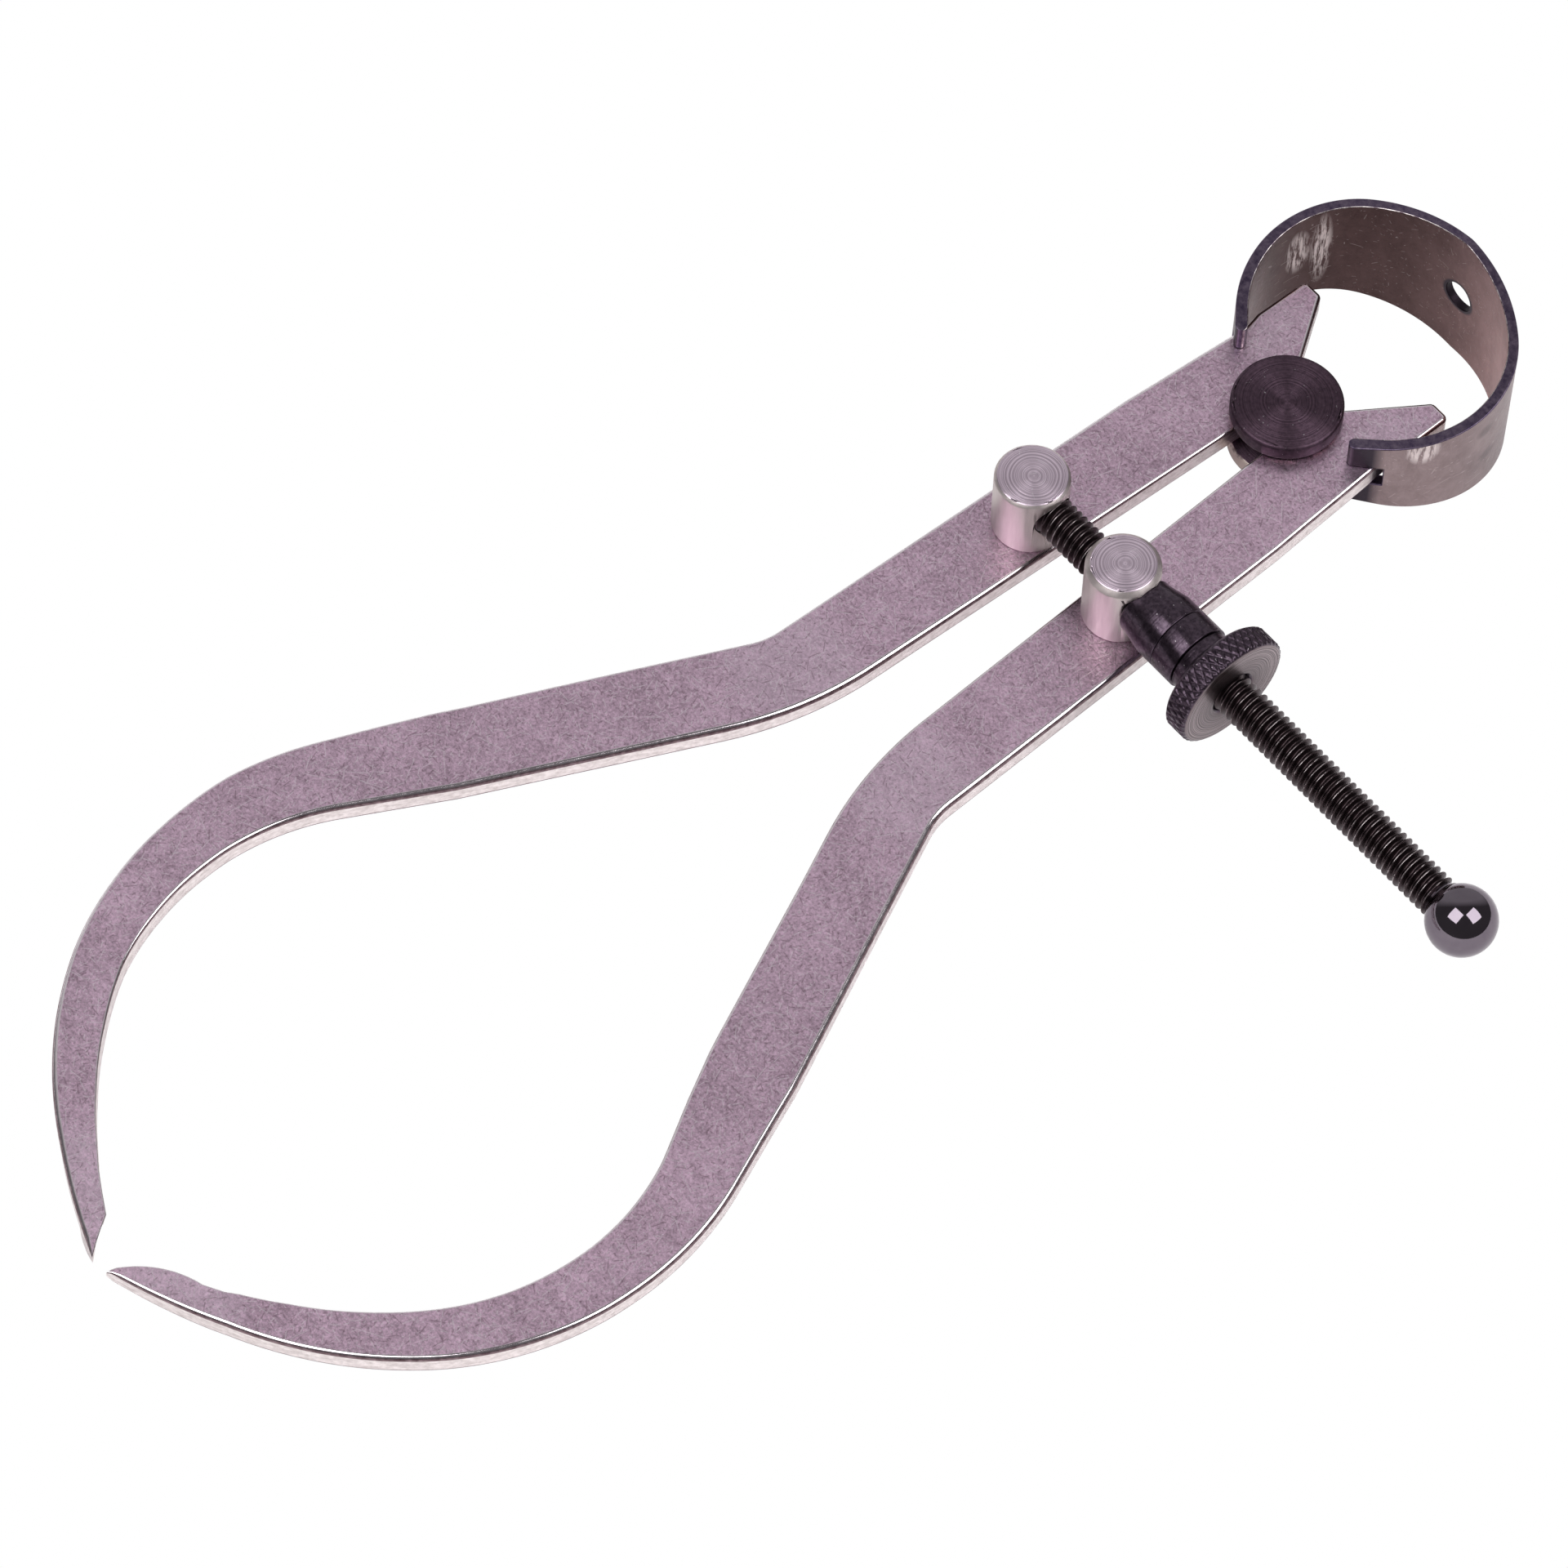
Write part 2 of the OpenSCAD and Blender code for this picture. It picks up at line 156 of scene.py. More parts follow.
def world():
    made = bpy.data.worlds.new("studio")
    bpy.context.scene.world = made
    made.use_nodes = True
    tree = made.node_tree
    tree.nodes.clear()
    path = node(tree, "LightPath")
    where = node(tree, "TexCoord")
    # A pale backdrop on the far side of the caliper, in a dim room
    facing = node(tree, "VectorMath", {0: where.outputs["Generated"], 1: (-0.72, 0.60, 0.30)},
                  operation="DOT_PRODUCT")
    ramp = node(tree, "ValToRGB", {"Fac": facing.outputs["Value"]})
    ramp.color_ramp.elements[0].position = 0.50
    ramp.color_ramp.elements[0].color = (0.11, 0.105, 0.11, 1)
    ramp.color_ramp.elements[1].position = 0.74
    ramp.color_ramp.elements[1].color = (0.50, 0.49, 0.50, 1)
    room = node(tree, "Background", {"Color": ramp.outputs["Color"], "Strength": 1.0})
    white = node(tree, "Background", {"Color": (1, 1, 1, 1), "Strength": 1.0})
    by_camera = path.outputs["Is Camera Ray"]
    mixed = node(tree, "MixShader", {0: by_camera, 1: room.outputs[0], 2: white.outputs[0]})
    node(tree, "OutputWorld", {"Surface": mixed.outputs[0]})


# Materials

class Paint:
    """A procedural material. Textures use the object's own coordinates, so they move with it."""

    def __init__(self, name):
        self.mat = bpy.data.materials.new(name)
        self.mat.use_nodes = True
        self.tree = self.mat.node_tree
        self.tree.nodes.clear()
        self.where = self.add("TexCoord").outputs["Object"]
        self.shader = self.add("BsdfPrincipled")
        self.add("OutputMaterial", {"Surface": self.shader.outputs[0]})

    def add(self, kind, ins=None, **props):
        return node(self.tree, kind, ins, **props)

    def put(self, **values):
        for key, value in values.items():
            socket = self.shader.inputs[key.replace("_", " ")]
            if isinstance(value, bpy.types.NodeSocket):
                self.tree.links.new(value, socket)
            else:
                socket.default_value = value

    def math(self, operation, a, b=0.0):
        return self.add("Math", {0: a, 1: b}, operation=operation).outputs[0]

    def most(self, values):
        """The largest of several values."""
        found = values[0]
        for value in values[1:]:
            found = self.math("MAXIMUM", found, value)
        return found

    def vector(self, operation, a, b):
        return self.add("VectorMath", {0: a, 1: b}, operation=operation).outputs[0]

    def length(self, a):
        return self.add("VectorMath", {0: a}, operation="LENGTH").outputs["Value"]

    def place_mm(self, axis):
        """The place along X, Y or Z, in mm."""
        parts = self.add("SeparateXYZ", {0: self.where})
        return self.math("MULTIPLY", parts.outputs["XYZ".index(axis)], TO_MM)

    def span(self, value, low, high, to_low=0.0, to_high=1.0):
        ins = {"Value": value, "From Min": low, "From Max": high, "To Min": to_low, "To Max": to_high}
        return self.add("MapRange", ins).outputs[0]

    def noise(self, per_mm, detail=3.0, rough=0.55, stretch=(1, 1, 1), warp=0.0):
        spot = self.add("Mapping", {"Vector": self.where, "Scale": [TO_MM * s for s in stretch]})
        return self.add("TexNoise", {"Vector": spot.outputs[0], "Scale": per_mm, "Detail": detail,
                                     "Roughness": rough, "Distortion": warp}).outputs["Fac"]

    def mix(self, fac, a, b, blend="MIX"):
        made = self.add("Mix", {0: fac}, data_type="RGBA", blend_type=blend)
        for index, value in ((6, a), (7, b)):
            if isinstance(value, bpy.types.NodeSocket):
                self.tree.links.new(value, made.inputs[index])
            else:
                made.inputs[index].default_value = (*value, 1)
        return made.outputs[2]

    def bump(self, height, depth, strength=1.0, after=None):
        ins = {"Height": height, "Distance": depth * MM, "Strength": strength}
        if after is not None:
            ins["Normal"] = after
        return self.add("Bump", ins).outputs[0]

    def radius(self, centre, axis="Z"):
        """Distance in mm from an axis through a centre."""
        off = self.vector("SUBTRACT", self.where, [c * MM for c in centre])
        return self.length(self.vector("MULTIPLY", off, [0.0 if a == axis else TO_MM for a in "XYZ"]))

    def turned(self, amount, axis):
        """Lathe marks: gloss drawn out across the grooves round an axis."""
        around = self.add("Tangent", direction_type="RADIAL", axis=axis)
        self.put(Anisotropic=amount, Anisotropic_Rotation=0.25, Tangent=around.outputs[0])

    def rings(self, r, per_mm, detail=2.0):
        return self.add("TexNoise", {"W": r, "Scale": per_mm, "Detail": detail, "Roughness": 0.7},
                        noise_dimensions="1D").outputs["Fac"]

    def spot(self, centre, size):
        """A soft patch, with its reach along X, Y and Z in mm."""
        off = self.vector("SUBTRACT", self.where, [c * MM for c in centre])
        return self.span(self.length(self.vector("MULTIPLY", off, [TO_MM / s for s in size])), 1.0, 0.6)

    def lines(self, per_mm, length, width, chance, seed, keep=(1, 1, 1)):
        """Short thin marks, one in some of the cells, each at its own angle."""
        flat = self.vector("MULTIPLY", self.where, [TO_MM * k for k in keep])
        flat = self.vector("ADD", flat, (seed * 17.3, seed * 9.1, seed * 5.7))
        dims = "3D" if keep[2] else "2D"
        cell = self.add("TexVoronoi", {"Vector": flat, "Scale": per_mm}, voronoi_dimensions=dims)
        off = self.vector("SUBTRACT", flat, cell.outputs["Position"])
        pick = self.add("SeparateXYZ", {0: cell.outputs["Color"]})
        angle = self.math("MULTIPLY", pick.outputs[0], 6.28)
        axis = "Z_AXIS" if dims == "2D" else "Y_AXIS"
        turned = self.add("VectorRotate", {"Vector": off, "Angle": angle}, rotation_type=axis)
        spot = self.add("SeparateXYZ", {0: turned.outputs[0]})
        across = self.math("ABSOLUTE", spot.outputs[1 if dims == "2D" else 2])
        along = self.math("ABSOLUTE", spot.outputs[0])
        near = self.span(across, width, width * 0.3)
        along = self.math("DIVIDE", along, self.math("ADD", 0.25, pick.outputs[1]))
        ends = self.span(along, length, length * 0.6)
        there = self.math("LESS_THAN", pick.outputs[2], chance)
        return self.math("MULTIPLY", self.math("MULTIPLY", near, ends), there)


def leg_face():
    p = Paint("ground_face")
    cloud = p.noise(0.12, 4, 0.6)
    mottle = p.noise(1.1, 3, 0.65)
    fine = p.noise(2.9, 3, 0.75)
    tone = p.math("ADD", p.math("MULTIPLY", cloud, 0.22), p.math("MULTIPLY", mottle, 0.20))
    tone = p.math("ADD", tone, p.math("MULTIPLY", fine, 0.58))
    colour = p.mix(p.span(tone, 0.38, 0.62), (0.43, 0.305, 0.385), (0.97, 0.705, 0.885))
    # Paler at the bends, the tails and the points; at the bends this is painted sheen
    pale_patches = ((9.5, -61, (9, 8, 20)), (11.5, 5, (6, 7, 20)), (7, -155, (9, 6, 20)))
    worn = p.most([p.spot((side * x, y, LEG_MID), size) for side in (-1, 1) for x, y, size in pale_patches])
    colour = p.mix(p.math("MULTIPLY", worn, 0.22), colour, (1.0, 0.84, 0.97))
    flat = (1, 1, 0)
    pale_kinds = ((0.55, 1.1, 0.08, 0.6, 1), (0.9, 0.6, 0.08, 0.6, 2), (0.25, 2.2, 0.07, 0.5, 3),
                  (1.5, 0.25, 0.09, 0.5, 4))
    pale = p.most([p.lines(*kind, flat) for kind in pale_kinds])
    dark = p.most([p.lines(*kind, flat) for kind in ((0.7, 0.8, 0.08, 0.6, 5), (1.2, 0.3, 0.10, 0.5, 6))])
    colour = p.mix(p.math("MULTIPLY", dark, 0.5), colour, (0.22, 0.13, 0.17))
    colour = p.mix(p.math("MULTIPLY", pale, 0.6), colour, (1.0, 0.88, 0.96))
    rough = p.math("ADD", p.span(mottle, 0.3, 0.7, 0.30, 0.38), p.math("MULTIPLY", pale, -0.06))
    normal = p.bump(fine, 0.03, 0.8)
    normal = p.bump(mottle, 0.03, 0.4, normal)
    p.put(Base_Color=colour, Metallic=1.0, Roughness=rough, Normal=normal)
    return p.mat


def leg_round():
    """The rounded edge, burnished brighter than the face."""
    p = Paint("burnished_edge")
    grain = p.noise(1.5, 3, 0.6)
    colour = p.mix(p.span(grain, 0.3, 0.7), (0.86, 0.78, 0.82), (1.0, 0.94, 0.97))
    p.put(Base_Color=colour, Metallic=1.0, Roughness=p.span(grain, 0.3, 0.7, 0.10, 0.16),
          Normal=p.bump(grain, 0.01, 0.3))
    return p.mat


def dark_line_shade():
    """Painted shade: the dark line between the rounded edge and the side, where the edge reflects the dim
    room.
    """
    p = Paint("painted_dark_line")
    grain = p.noise(1.5, 3, 0.6)
    colour = p.mix(p.span(grain, 0.3, 0.7), (0.13, 0.08, 0.09), (0.34, 0.25, 0.27))
    p.put(Base_Color=colour, Metallic=1.0, Roughness=0.4)
    return p.mat


def leg_side():
    p = Paint("ground_side")
    grain = p.noise(1.4, 3, 0.65)
    streak = p.noise(2.5, 3, 0.6, (0.25, 0.25, 1))
    tone = p.math("ADD", p.math("MULTIPLY", grain, 0.5), p.math("MULTIPLY", streak, 0.5))
    colour = p.mix(p.span(tone, 0.38, 0.62), (0.68, 0.62, 0.60), (0.98, 0.92, 0.90))
    p.put(Base_Color=colour, Metallic=1.0, Roughness=0.3, Normal=p.bump(tone, 0.02, 0.5))
    return p.mat


def post_steel(name, x, top):
    """Turned bright steel: rings on the top, faint streaks down the side."""
    p = Paint(name)
    r = p.radius((x + 0.12, POST_Y + 0.1, 0))
    height = p.place_mm("Z")
    on_top = p.span(height, top - 0.10, top - 0.03)
    off_top = p.math("SUBTRACT", 1.0, on_top)
    ring = p.rings(p.math("ADD", r, p.math("MULTIPLY", p.noise(0.25, 1, 0.5), 0.5)), 5.0, 3.0)
    streak = p.noise(1.6, 3, 0.6, (1, 1, 0.10))
    top_colour = p.mix(p.span(ring, 0.40, 0.60), (0.52, 0.42, 0.50), (0.93, 0.79, 0.90))
    side_colour = p.mix(p.span(streak, 0.3, 0.7), (0.53, 0.475, 0.465), (0.65, 0.59, 0.57))
    marks = p.lines(0.6, 0.6, 0.05, 0.4, 2, (1, 1, 0))
    top_colour = p.mix(p.math("MULTIPLY", marks, 0.4), top_colour, (1, 0.97, 1))
    p.put(Base_Color=p.mix(on_top, side_colour, top_colour), Metallic=1.0)
    side_relief = p.math("MULTIPLY", off_top, p.math("MULTIPLY", streak, 0.2))
    relief = p.math("ADD", p.math("MULTIPLY", ring, on_top), side_relief)
    normal = p.bump(relief, 0.035, 0.8)
    normal = p.bump(p.noise(5, 2, 0.6), 0.01, 0.4, normal)
    p.put(Roughness=p.math("SUBTRACT", 0.42, p.math("MULTIPLY", on_top, 0.10)), Normal=normal)
    p.turned(0.6, "Z")
    return p.mat


def stud_steel():
    """Blacked and turned, bare on the lower flange and rubbed along the rim; both also stand in for
    highlights there, as painted highlight.
    """
    p = Paint("blacked_stud")
    r = p.radius((0, 0, 0))
    ring = p.rings(r, 5.5, 3.0)
    grain = p.noise(2.0, 3, 0.6)
    tone = p.math("ADD", p.math("MULTIPLY", ring, 0.6), p.math("MULTIPLY", grain, 0.4))
    colour = p.mix(p.span(tone, 0.38, 0.62), (0.058, 0.037, 0.052), (0.135, 0.086, 0.118))
    specks = p.span(p.noise(3.0, 2, 0.5), 0.72, 0.75)
    colour = p.mix(p.math("MULTIPLY", specks, 0.5), colour, (0.7, 0.68, 0.7))
    height = p.place_mm("Z")
    # Paler rims: partly bare and rubbed steel, partly painted highlight
    on_rim = p.math("GREATER_THAN", r, 5.9)
    bare = p.math("MULTIPLY", p.span(height, 2.0, 1.6), p.span(height, 0.0, 0.5))
    rubbed = p.math("MULTIPLY", p.span(height, 5.70, 5.60), p.span(p.noise(0.5, 3, 0.6), 0.42, 0.55))
    bright = p.math("MULTIPLY", p.math("MAXIMUM", bare, rubbed), on_rim)
    colour = p.mix(p.math("MULTIPLY", bright, 0.85), colour, (0.62, 0.53, 0.47))
    p.put(Base_Color=colour, Metallic=1.0, Roughness=0.42, Normal=p.bump(ring, 0.05, 0.8))
    p.turned(0.75, "Z")
    return p.mat


def nut_steel(name, face_x=None):
    """Blacked steel turned about the screw, with worn rings on the nut's front face."""
    p = Paint(name)
    r = p.radius((0, POST_Y, SCREW_Z), "X")
    along = p.place_mm("X")
    turned = p.rings(along, 5.0)
    grain = p.noise(2.5, 3, 0.6)
    colour = p.mix(p.span(grain, 0.35, 0.65), (0.050, 0.036, 0.050), (0.110, 0.082, 0.108))
    dust = p.span(p.noise(3.6, 2, 0.5), 0.72, 0.75)
    colour = p.mix(p.math("MULTIPLY", dust, 0.6), colour, (0.8, 0.78, 0.8))
    relief = turned
    if face_x is not None:
        on_face = p.span(along, face_x - 0.1, face_x - 0.03)
        ring = p.rings(r, 7.0, 3.0)
        worn = p.math("MULTIPLY", p.span(ring, 0.40, 0.62), p.span(r, 3.0, 5.4, 0.25, 0.9))
        face = p.mix(worn, (0.09, 0.068, 0.075), (0.42, 0.35, 0.36))
        colour = p.mix(on_face, colour, face)
        off_face = p.math("SUBTRACT", 1.0, on_face)
        relief = p.math("ADD", p.math("MULTIPLY", ring, on_face), p.math("MULTIPLY", turned, off_face))
    p.put(Base_Color=colour, Metallic=1.0, Roughness=0.29, Normal=p.bump(relief, 0.03, 0.7))
    p.turned(0.6, "X")
    return p.mat


def thread_steel():
    p = Paint("blacked_thread")
    r = p.radius((0, POST_Y, SCREW_Z), "X")
    crest = p.span(r, SCREW_R - 0.03, SCREW_R - 0.005)
    # Worn paler crests, which also paint the crests' glints: partly painted highlight
    crest_wear_and_glint = p.math("MULTIPLY", crest, p.span(p.noise(0.9, 3, 0.6), 0.45, 0.62))
    colour = p.mix(p.math("MULTIPLY", crest_wear_and_glint, 0.8), (0.060, 0.044, 0.047), (0.62, 0.56, 0.56))
    p.put(Base_Color=colour, Metallic=1.0, Roughness=0.34, Normal=p.bump(p.noise(4, 2, 0.6), 0.01, 0.5))
    return p.mat


def ball_steel():
    p = Paint("polished_ball")
    smear = p.noise(0.5, 3, 0.6)
    colour = p.mix(p.span(smear, 0.3, 0.7), (0.175, 0.150, 0.178), (0.205, 0.178, 0.205))
    p.put(Base_Color=colour, Metallic=1.0, Roughness=p.span(smear, 0.3, 0.7, 0.035, 0.06),
          Normal=p.bump(p.noise(1.2, 2, 0.5), 0.01, 0.25))
    return p.mat


def painted_shade_round_bow(p, colour, place):
    """Painted shade and reflection on the strip's inside: dark at the left, where the bow shades the floor
    that it reflects, and pale at the right, by the angle round the bow.
    """
    angle = p.math("ARCTAN2", place.outputs[0], p.math("SUBTRACT", place.outputs[1], 10 * MM))
    ramp = p.add("ValToRGB", {"Fac": p.span(angle, math.radians(-130), math.radians(130))})
    # Angle in degrees from the crown, and how pale the painted shade leaves the steel there (half of it is
    # the ramp's colour)
    stops = ((-130, 0.9), (-100, 0.72), (-86, 0.44), (-60, 0.38), (-28, 0.40), (-12, 0.55), (0, 0.75),
             (12, 1.05), (26, 1.5), (45, 1.9))
    elements = ramp.color_ramp.elements
    for degrees, value in stops:
        stop = elements[0] if degrees == -130 else elements.new((degrees + 130) / 260)
        stop.color = (value / 2, value / 2, value / 2, 1)
    colour = p.mix(1.0, colour, ramp.outputs["Color"], "MULTIPLY")
    return p.mix(1.0, colour, (1.38, 1.20, 1.27), "MULTIPLY")


def spring_face(name, inside):
    """Tempered strip, scuffed. The inside is browner and has two rubbed patches at its left, and carries
    painted shade and reflection round the bow.
    """
    p = Paint(name)
    cloud = p.noise(0.16, 5, 0.65)
    smudge = p.noise(0.5, 4, 0.7, (1, 1, 0.6), warp=1.0)
    grain = p.noise(1.8, 4, 0.7)
    tone = p.math("ADD", p.math("MULTIPLY", cloud, 0.45), p.math("MULTIPLY", smudge, 0.35))
    tone = p.span(p.math("ADD", tone, p.math("MULTIPLY", grain, 0.2)), 0.36, 0.64)
    place = p.add("SeparateXYZ", {0: p.where})
    if inside:
        # The inside's colour, with painted shade and reflection round the bow
        colour = painted_shade_round_bow(p, p.mix(tone, (0.25, 0.155, 0.140), (0.46, 0.315, 0.290)), place)
        rubs = ((-20.3, 5, (1.9, 1.9, 4.4)), (-17.3, 4.5, (1.5, 1.5, 7.4)))
        rub = p.most([p.spot((*spring_frame(s)[0], z), size) for s, z, size in rubs])
    else:
        colour = p.mix(tone, (0.200, 0.148, 0.150), (0.340, 0.262, 0.262))
        rub = p.spot((14.0, 6.5, 9.0), (2.6, 2.0, 3.0))
    streak = p.noise(2.2, 3, 0.7, (1, 1, 0.14))
    scuffs = p.span(p.noise(0.9, 5, 0.75, warp=1.5), 0.66, 0.74)
    worn = p.math("MAXIMUM", p.math("MULTIPLY", rub, p.span(streak, 0.42, 0.56)), scuffs)
    colour = p.mix(p.math("MULTIPLY", worn, 0.85), colour, (0.80, 0.71, 0.69))
    if not inside:
        # Painted shade standing in for two dents on the outside
        dents = ((21.6, 7.4), (20.8, 2.2))
        dent_shade = p.most([p.spot((*spring_frame(s)[0], z), (1.5, 1.5, 1.2)) for s, z in dents])
        colour = p.mix(p.math("MULTIPLY", dent_shade, 0.55), colour, (0.10, 0.075, 0.08))
    marks = p.math("MAXIMUM", p.lines(0.7, 0.5, 0.05, 0.3, 1), p.lines(1.6, 0.2, 0.05, 0.2, 2))
    colour = p.mix(p.math("MULTIPLY", marks, 0.25), colour, (0.75, 0.66, 0.64))
    # A dark ring round the hole, and painted shade at the ends
    near_hole = p.span(p.radius((0, 0, LEG_MID), "Y"), 2.45, 2.15)
    hole = p.math("MULTIPLY", near_hole, p.math("GREATER_THAN", place.outputs[1], 20 * MM))
    reach = 1.6 if inside else 3.1
    ends = p.most([p.spot((x, 1.64, LEG_MID), (reach, reach, 30)) for x in (-9.33, 9.33)])
    colour = p.mix(p.math("MAXIMUM", hole, ends), colour, (0.036, 0.026, 0.038))
    p.put(Base_Color=colour, Metallic=1.0, Roughness=p.span(grain, 0.3, 0.7, 0.27, 0.40),
          Normal=p.bump(grain, 0.02, 0.5))
    return p.mat


def shaded_hole_wall():
    # Painted shade: the hang hole's wall is near black
    p = Paint("painted_hole_shade")
    p.put(Base_Color=(0.03, 0.022, 0.03, 1), Metallic=1.0, Roughness=0.5)
    return p.mat


def spring_worn():
    """The inner corner of the strip's edge, rubbed bright in places."""
    p = Paint("rubbed_corner")
    fac = p.span(p.noise(0.7, 4, 0.7), 0.40, 0.60)
    colour = p.mix(fac, (0.16, 0.12, 0.14), (0.80, 0.74, 0.72))
    p.put(Base_Color=colour, Metallic=1.0, Roughness=0.3)
    return p.mat


def spring_edge():
    p = Paint("tempered_edge")
    grain = p.noise(1.5, 4, 0.7)
    colour = p.mix(p.span(grain, 0.35, 0.65), (0.090, 0.066, 0.118), (0.190, 0.150, 0.205))
    p.put(Base_Color=colour, Metallic=1.0, Roughness=p.span(grain, 0.3, 0.7, 0.27, 0.38),
          Normal=p.bump(grain, 0.015, 0.5))
    return p.mat


# Meshes

def piece(name, verts, faces, body, node_names, mat):
    """A smooth mesh that stands for CAD nodes. One without a body stays unattached."""
    mesh = bpy.data.meshes.new(name)
    mesh.from_pydata([tuple(v) for v in np.asarray(verts, float) * MM], [], faces)
    mesh.materials.append(mat)
    mesh.polygons.foreach_set("use_smooth", [True] * len(mesh.polygons))
    mesh.update()
    obj = bpy.data.objects.new(name, mesh)
    bpy.context.scene.collection.objects.link(obj)
    if body:
        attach(obj, body)
    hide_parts(*node_names)
    return obj


def more_materials(obj, mats, slot):
    """A piece's further materials, and which one each face has."""
    for mat in mats[1:]:
        obj.data.materials.append(mat)
    obj.data.polygons.foreach_set("material_index", slot)


def circle(x, y, r):
    turns = np.linspace(0, 2 * math.pi, 48, endpoint=False)
    return [(x + r * math.cos(a), y + r * math.sin(a)) for a in turns]


def ring_faces(rows, around):
    """Quads of a closed loop of rows, each of which goes round."""
    made = []
    for i in range(rows):
        for k in range(around):
            a, b = i * around, (i + 1) % rows * around
            k2 = (k + 1) % around
            made.append((a + k, a + k2, b + k2, b + k))
    return made


def about_screw(x, r, angle):
    """Points round the screw's axis."""
    y, z = POST_Y + r * np.cos(angle), SCREW_Z + r * np.sin(angle)
    return np.stack([np.broadcast_to(x, np.shape(r)), y, z], -1)


def thread():
    """One pitch of the thread's profile, swept along its helix."""
    shape = [(0, 0), (0.07, 0.02), (0.13, 0.12), (0.25, 0.42), (0.37, 0.80), (0.42, 0.94), (0.46, 0.99),
             (0.5, 1), (0.54, 0.99), (0.58, 0.94), (0.63, 0.80), (0.75, 0.42), (0.87, 0.12), (0.93, 0.02)]
    depth = 0.5
    around = 48
    end = BALL_X - 2.6
    steps = int((end - SCREW_END) / PITCH * around)
    k = np.arange(steps + 1)
    angle = 2 * math.pi * k / around
    count = len(shape)
    verts = np.zeros((steps + 1, count, 3))
    for j, (t, f) in enumerate(shape):
        r = SCREW_R - depth + depth * f
        verts[:, j] = about_screw(SCREW_END + PITCH * (k / around + t), np.full(len(k), r), angle)
    faces = []
    turn = around * count
    for i in range(steps):
        here, after = i * count, (i + 1) * count
        for j in range(count):
            if j < count - 1:
                faces.append((here + j, here + j + 1, after + j + 1, after + j))
            elif i + 1 + around <= steps:
                faces.append((here + j, here + turn, after + turn, after + j))
    return piece("screw_thread", verts.reshape(-1, 3), faces, "screw_swivel",
                 ["adjusting_screw"], thread_steel())


def ball():
    """A sphere with a short neck that meets the thread."""
    around = 96
    neck = 2.05
    start = math.asin(neck / BALL_R)
    profile = [(BALL_X - 4.3, neck - 0.3), (BALL_X - 3.9, neck - 0.05)]
    profile += [(BALL_X - BALL_R * math.cos(start) - 0.08, neck)]
    sweep = np.linspace(start + 0.02, math.pi - 0.01, 64)
    profile += [(BALL_X - BALL_R * math.cos(a), BALL_R * math.sin(a)) for a in sweep]
    angle = 2 * math.pi * np.arange(around) / around
    verts = np.concatenate([about_screw(x, np.full(around, r), angle) for x, r in profile])
    faces = [f for f in ring_faces(len(profile), around) if abs(f[0] // around - f[2] // around) == 1]
    faces.append(tuple(range(around))[::-1])
    last = (len(profile) - 1) * around
    faces.append(tuple(range(last, last + around)))
    return piece("ball_end", verts, faces, "screw_swivel", ["ball_knob"], ball_steel())


def nut():
    """Neck, cone and flange with a diamond knurl on its rim."""
    period, per = 44, 12
    around = period * per
    row = 2 * math.pi * FLANGE_R / around / math.tan(math.radians(30))
    bore, edge = 2.42, 0.35
    rim = NUT_END - FLANGE_W
    width = FLANGE_W - 2 * edge
    rows = int(round(width / row))
    # Each point is a place along the screw, a radius and how deep the knurl cuts there
    neck = [(NUT_X, bore + 0.05, 0), (NUT_X, NECK_R - 0.12, 0), (NUT_X + 0.04, NECK_R - 0.04, 0),
            (NUT_X + 0.12, NECK_R, 0), (NUT_X + 1.15, NECK_R, 0), (NUT_X + 1.25, NECK_R + 0.03, 0),
            (NUT_X + 1.35, NECK_R + 0.12, 0)]
    cone = [(rim - 0.12, FLANGE_R - edge - 0.16, 0), (rim, FLANGE_R - edge, 0),
            (rim + edge * 0.5, FLANGE_R - edge * 0.42, 0.3)]
    knurl = [(rim + edge + width * i / rows, FLANGE_R, 1) for i in range(rows + 1)]
    front = [(NUT_END - edge * 0.5, FLANGE_R - edge * 0.42, 0.3), (NUT_END - 0.05, FLANGE_R - edge, 0),
             (NUT_END, FLANGE_R - edge - 0.08, 0)]
    front += [(NUT_END, r, 0) for r in (6.2, 5.6, 5.0, 4.4, 3.8, 3.2)]
    mouth = [(NUT_END, bore + 0.42, 0), (NUT_END - 0.04, bore + 0.34, 0), (NUT_END - 0.35, bore + 0.05, 0)]
    profile = neck + cone + knurl + front + mouth
    angle = 2 * math.pi * np.arange(around) / around
    verts = []
    for x, r, cut in profile:
        lines = (x - rim - edge) / row
        u = (np.arange(around) + lines) / per % 1
        w = (np.arange(around) - lines) / per % 1
        high = np.minimum(1 - np.abs(2 * u - 1), 1 - np.abs(2 * w - 1))
        drop = 0.2 * cut * (1 - np.clip(high / 0.42, 0, 1))
        verts.append(about_screw(x, r - drop, angle))
    return piece("nut_knurl", np.concatenate(verts), ring_faces(len(profile), around), "nut",
                 ["knurled_nut"], nut_steel("blacked_nut", NUT_END))


# Flat plates with rounded edges, for the legs and the bow spring

def along_runs(runs, start, s):
    """Place [x, y, heading] on a path of (length, turn) runs. Heading 0 faces -Y, as in part.scad."""
    x, y, h = start
    for length, turn in runs:
        part = min(length, s)
        h2 = h + turn * part / length
        if turn:
            r = length / math.radians(turn)
            x += r * (math.cos(math.radians(h)) - math.cos(math.radians(h2)))
            y -= r * (math.sin(math.radians(h2)) - math.sin(math.radians(h)))
        else:
            x += part * math.sin(math.radians(h))
            y -= part * math.cos(math.radians(h))
        h = h2
        s -= part
        if s <= 0:
            break
    return x, y, h


def arc(r, turn):
    """A run of a path: an arc's length and its turn in degrees."""
    return r * math.radians(abs(turn)), turn


def beside(place, off):
    """The point square to a place's heading."""
    x, y, h = place
    return x + off * math.cos(math.radians(h)), y + off * math.sin(math.radians(h))


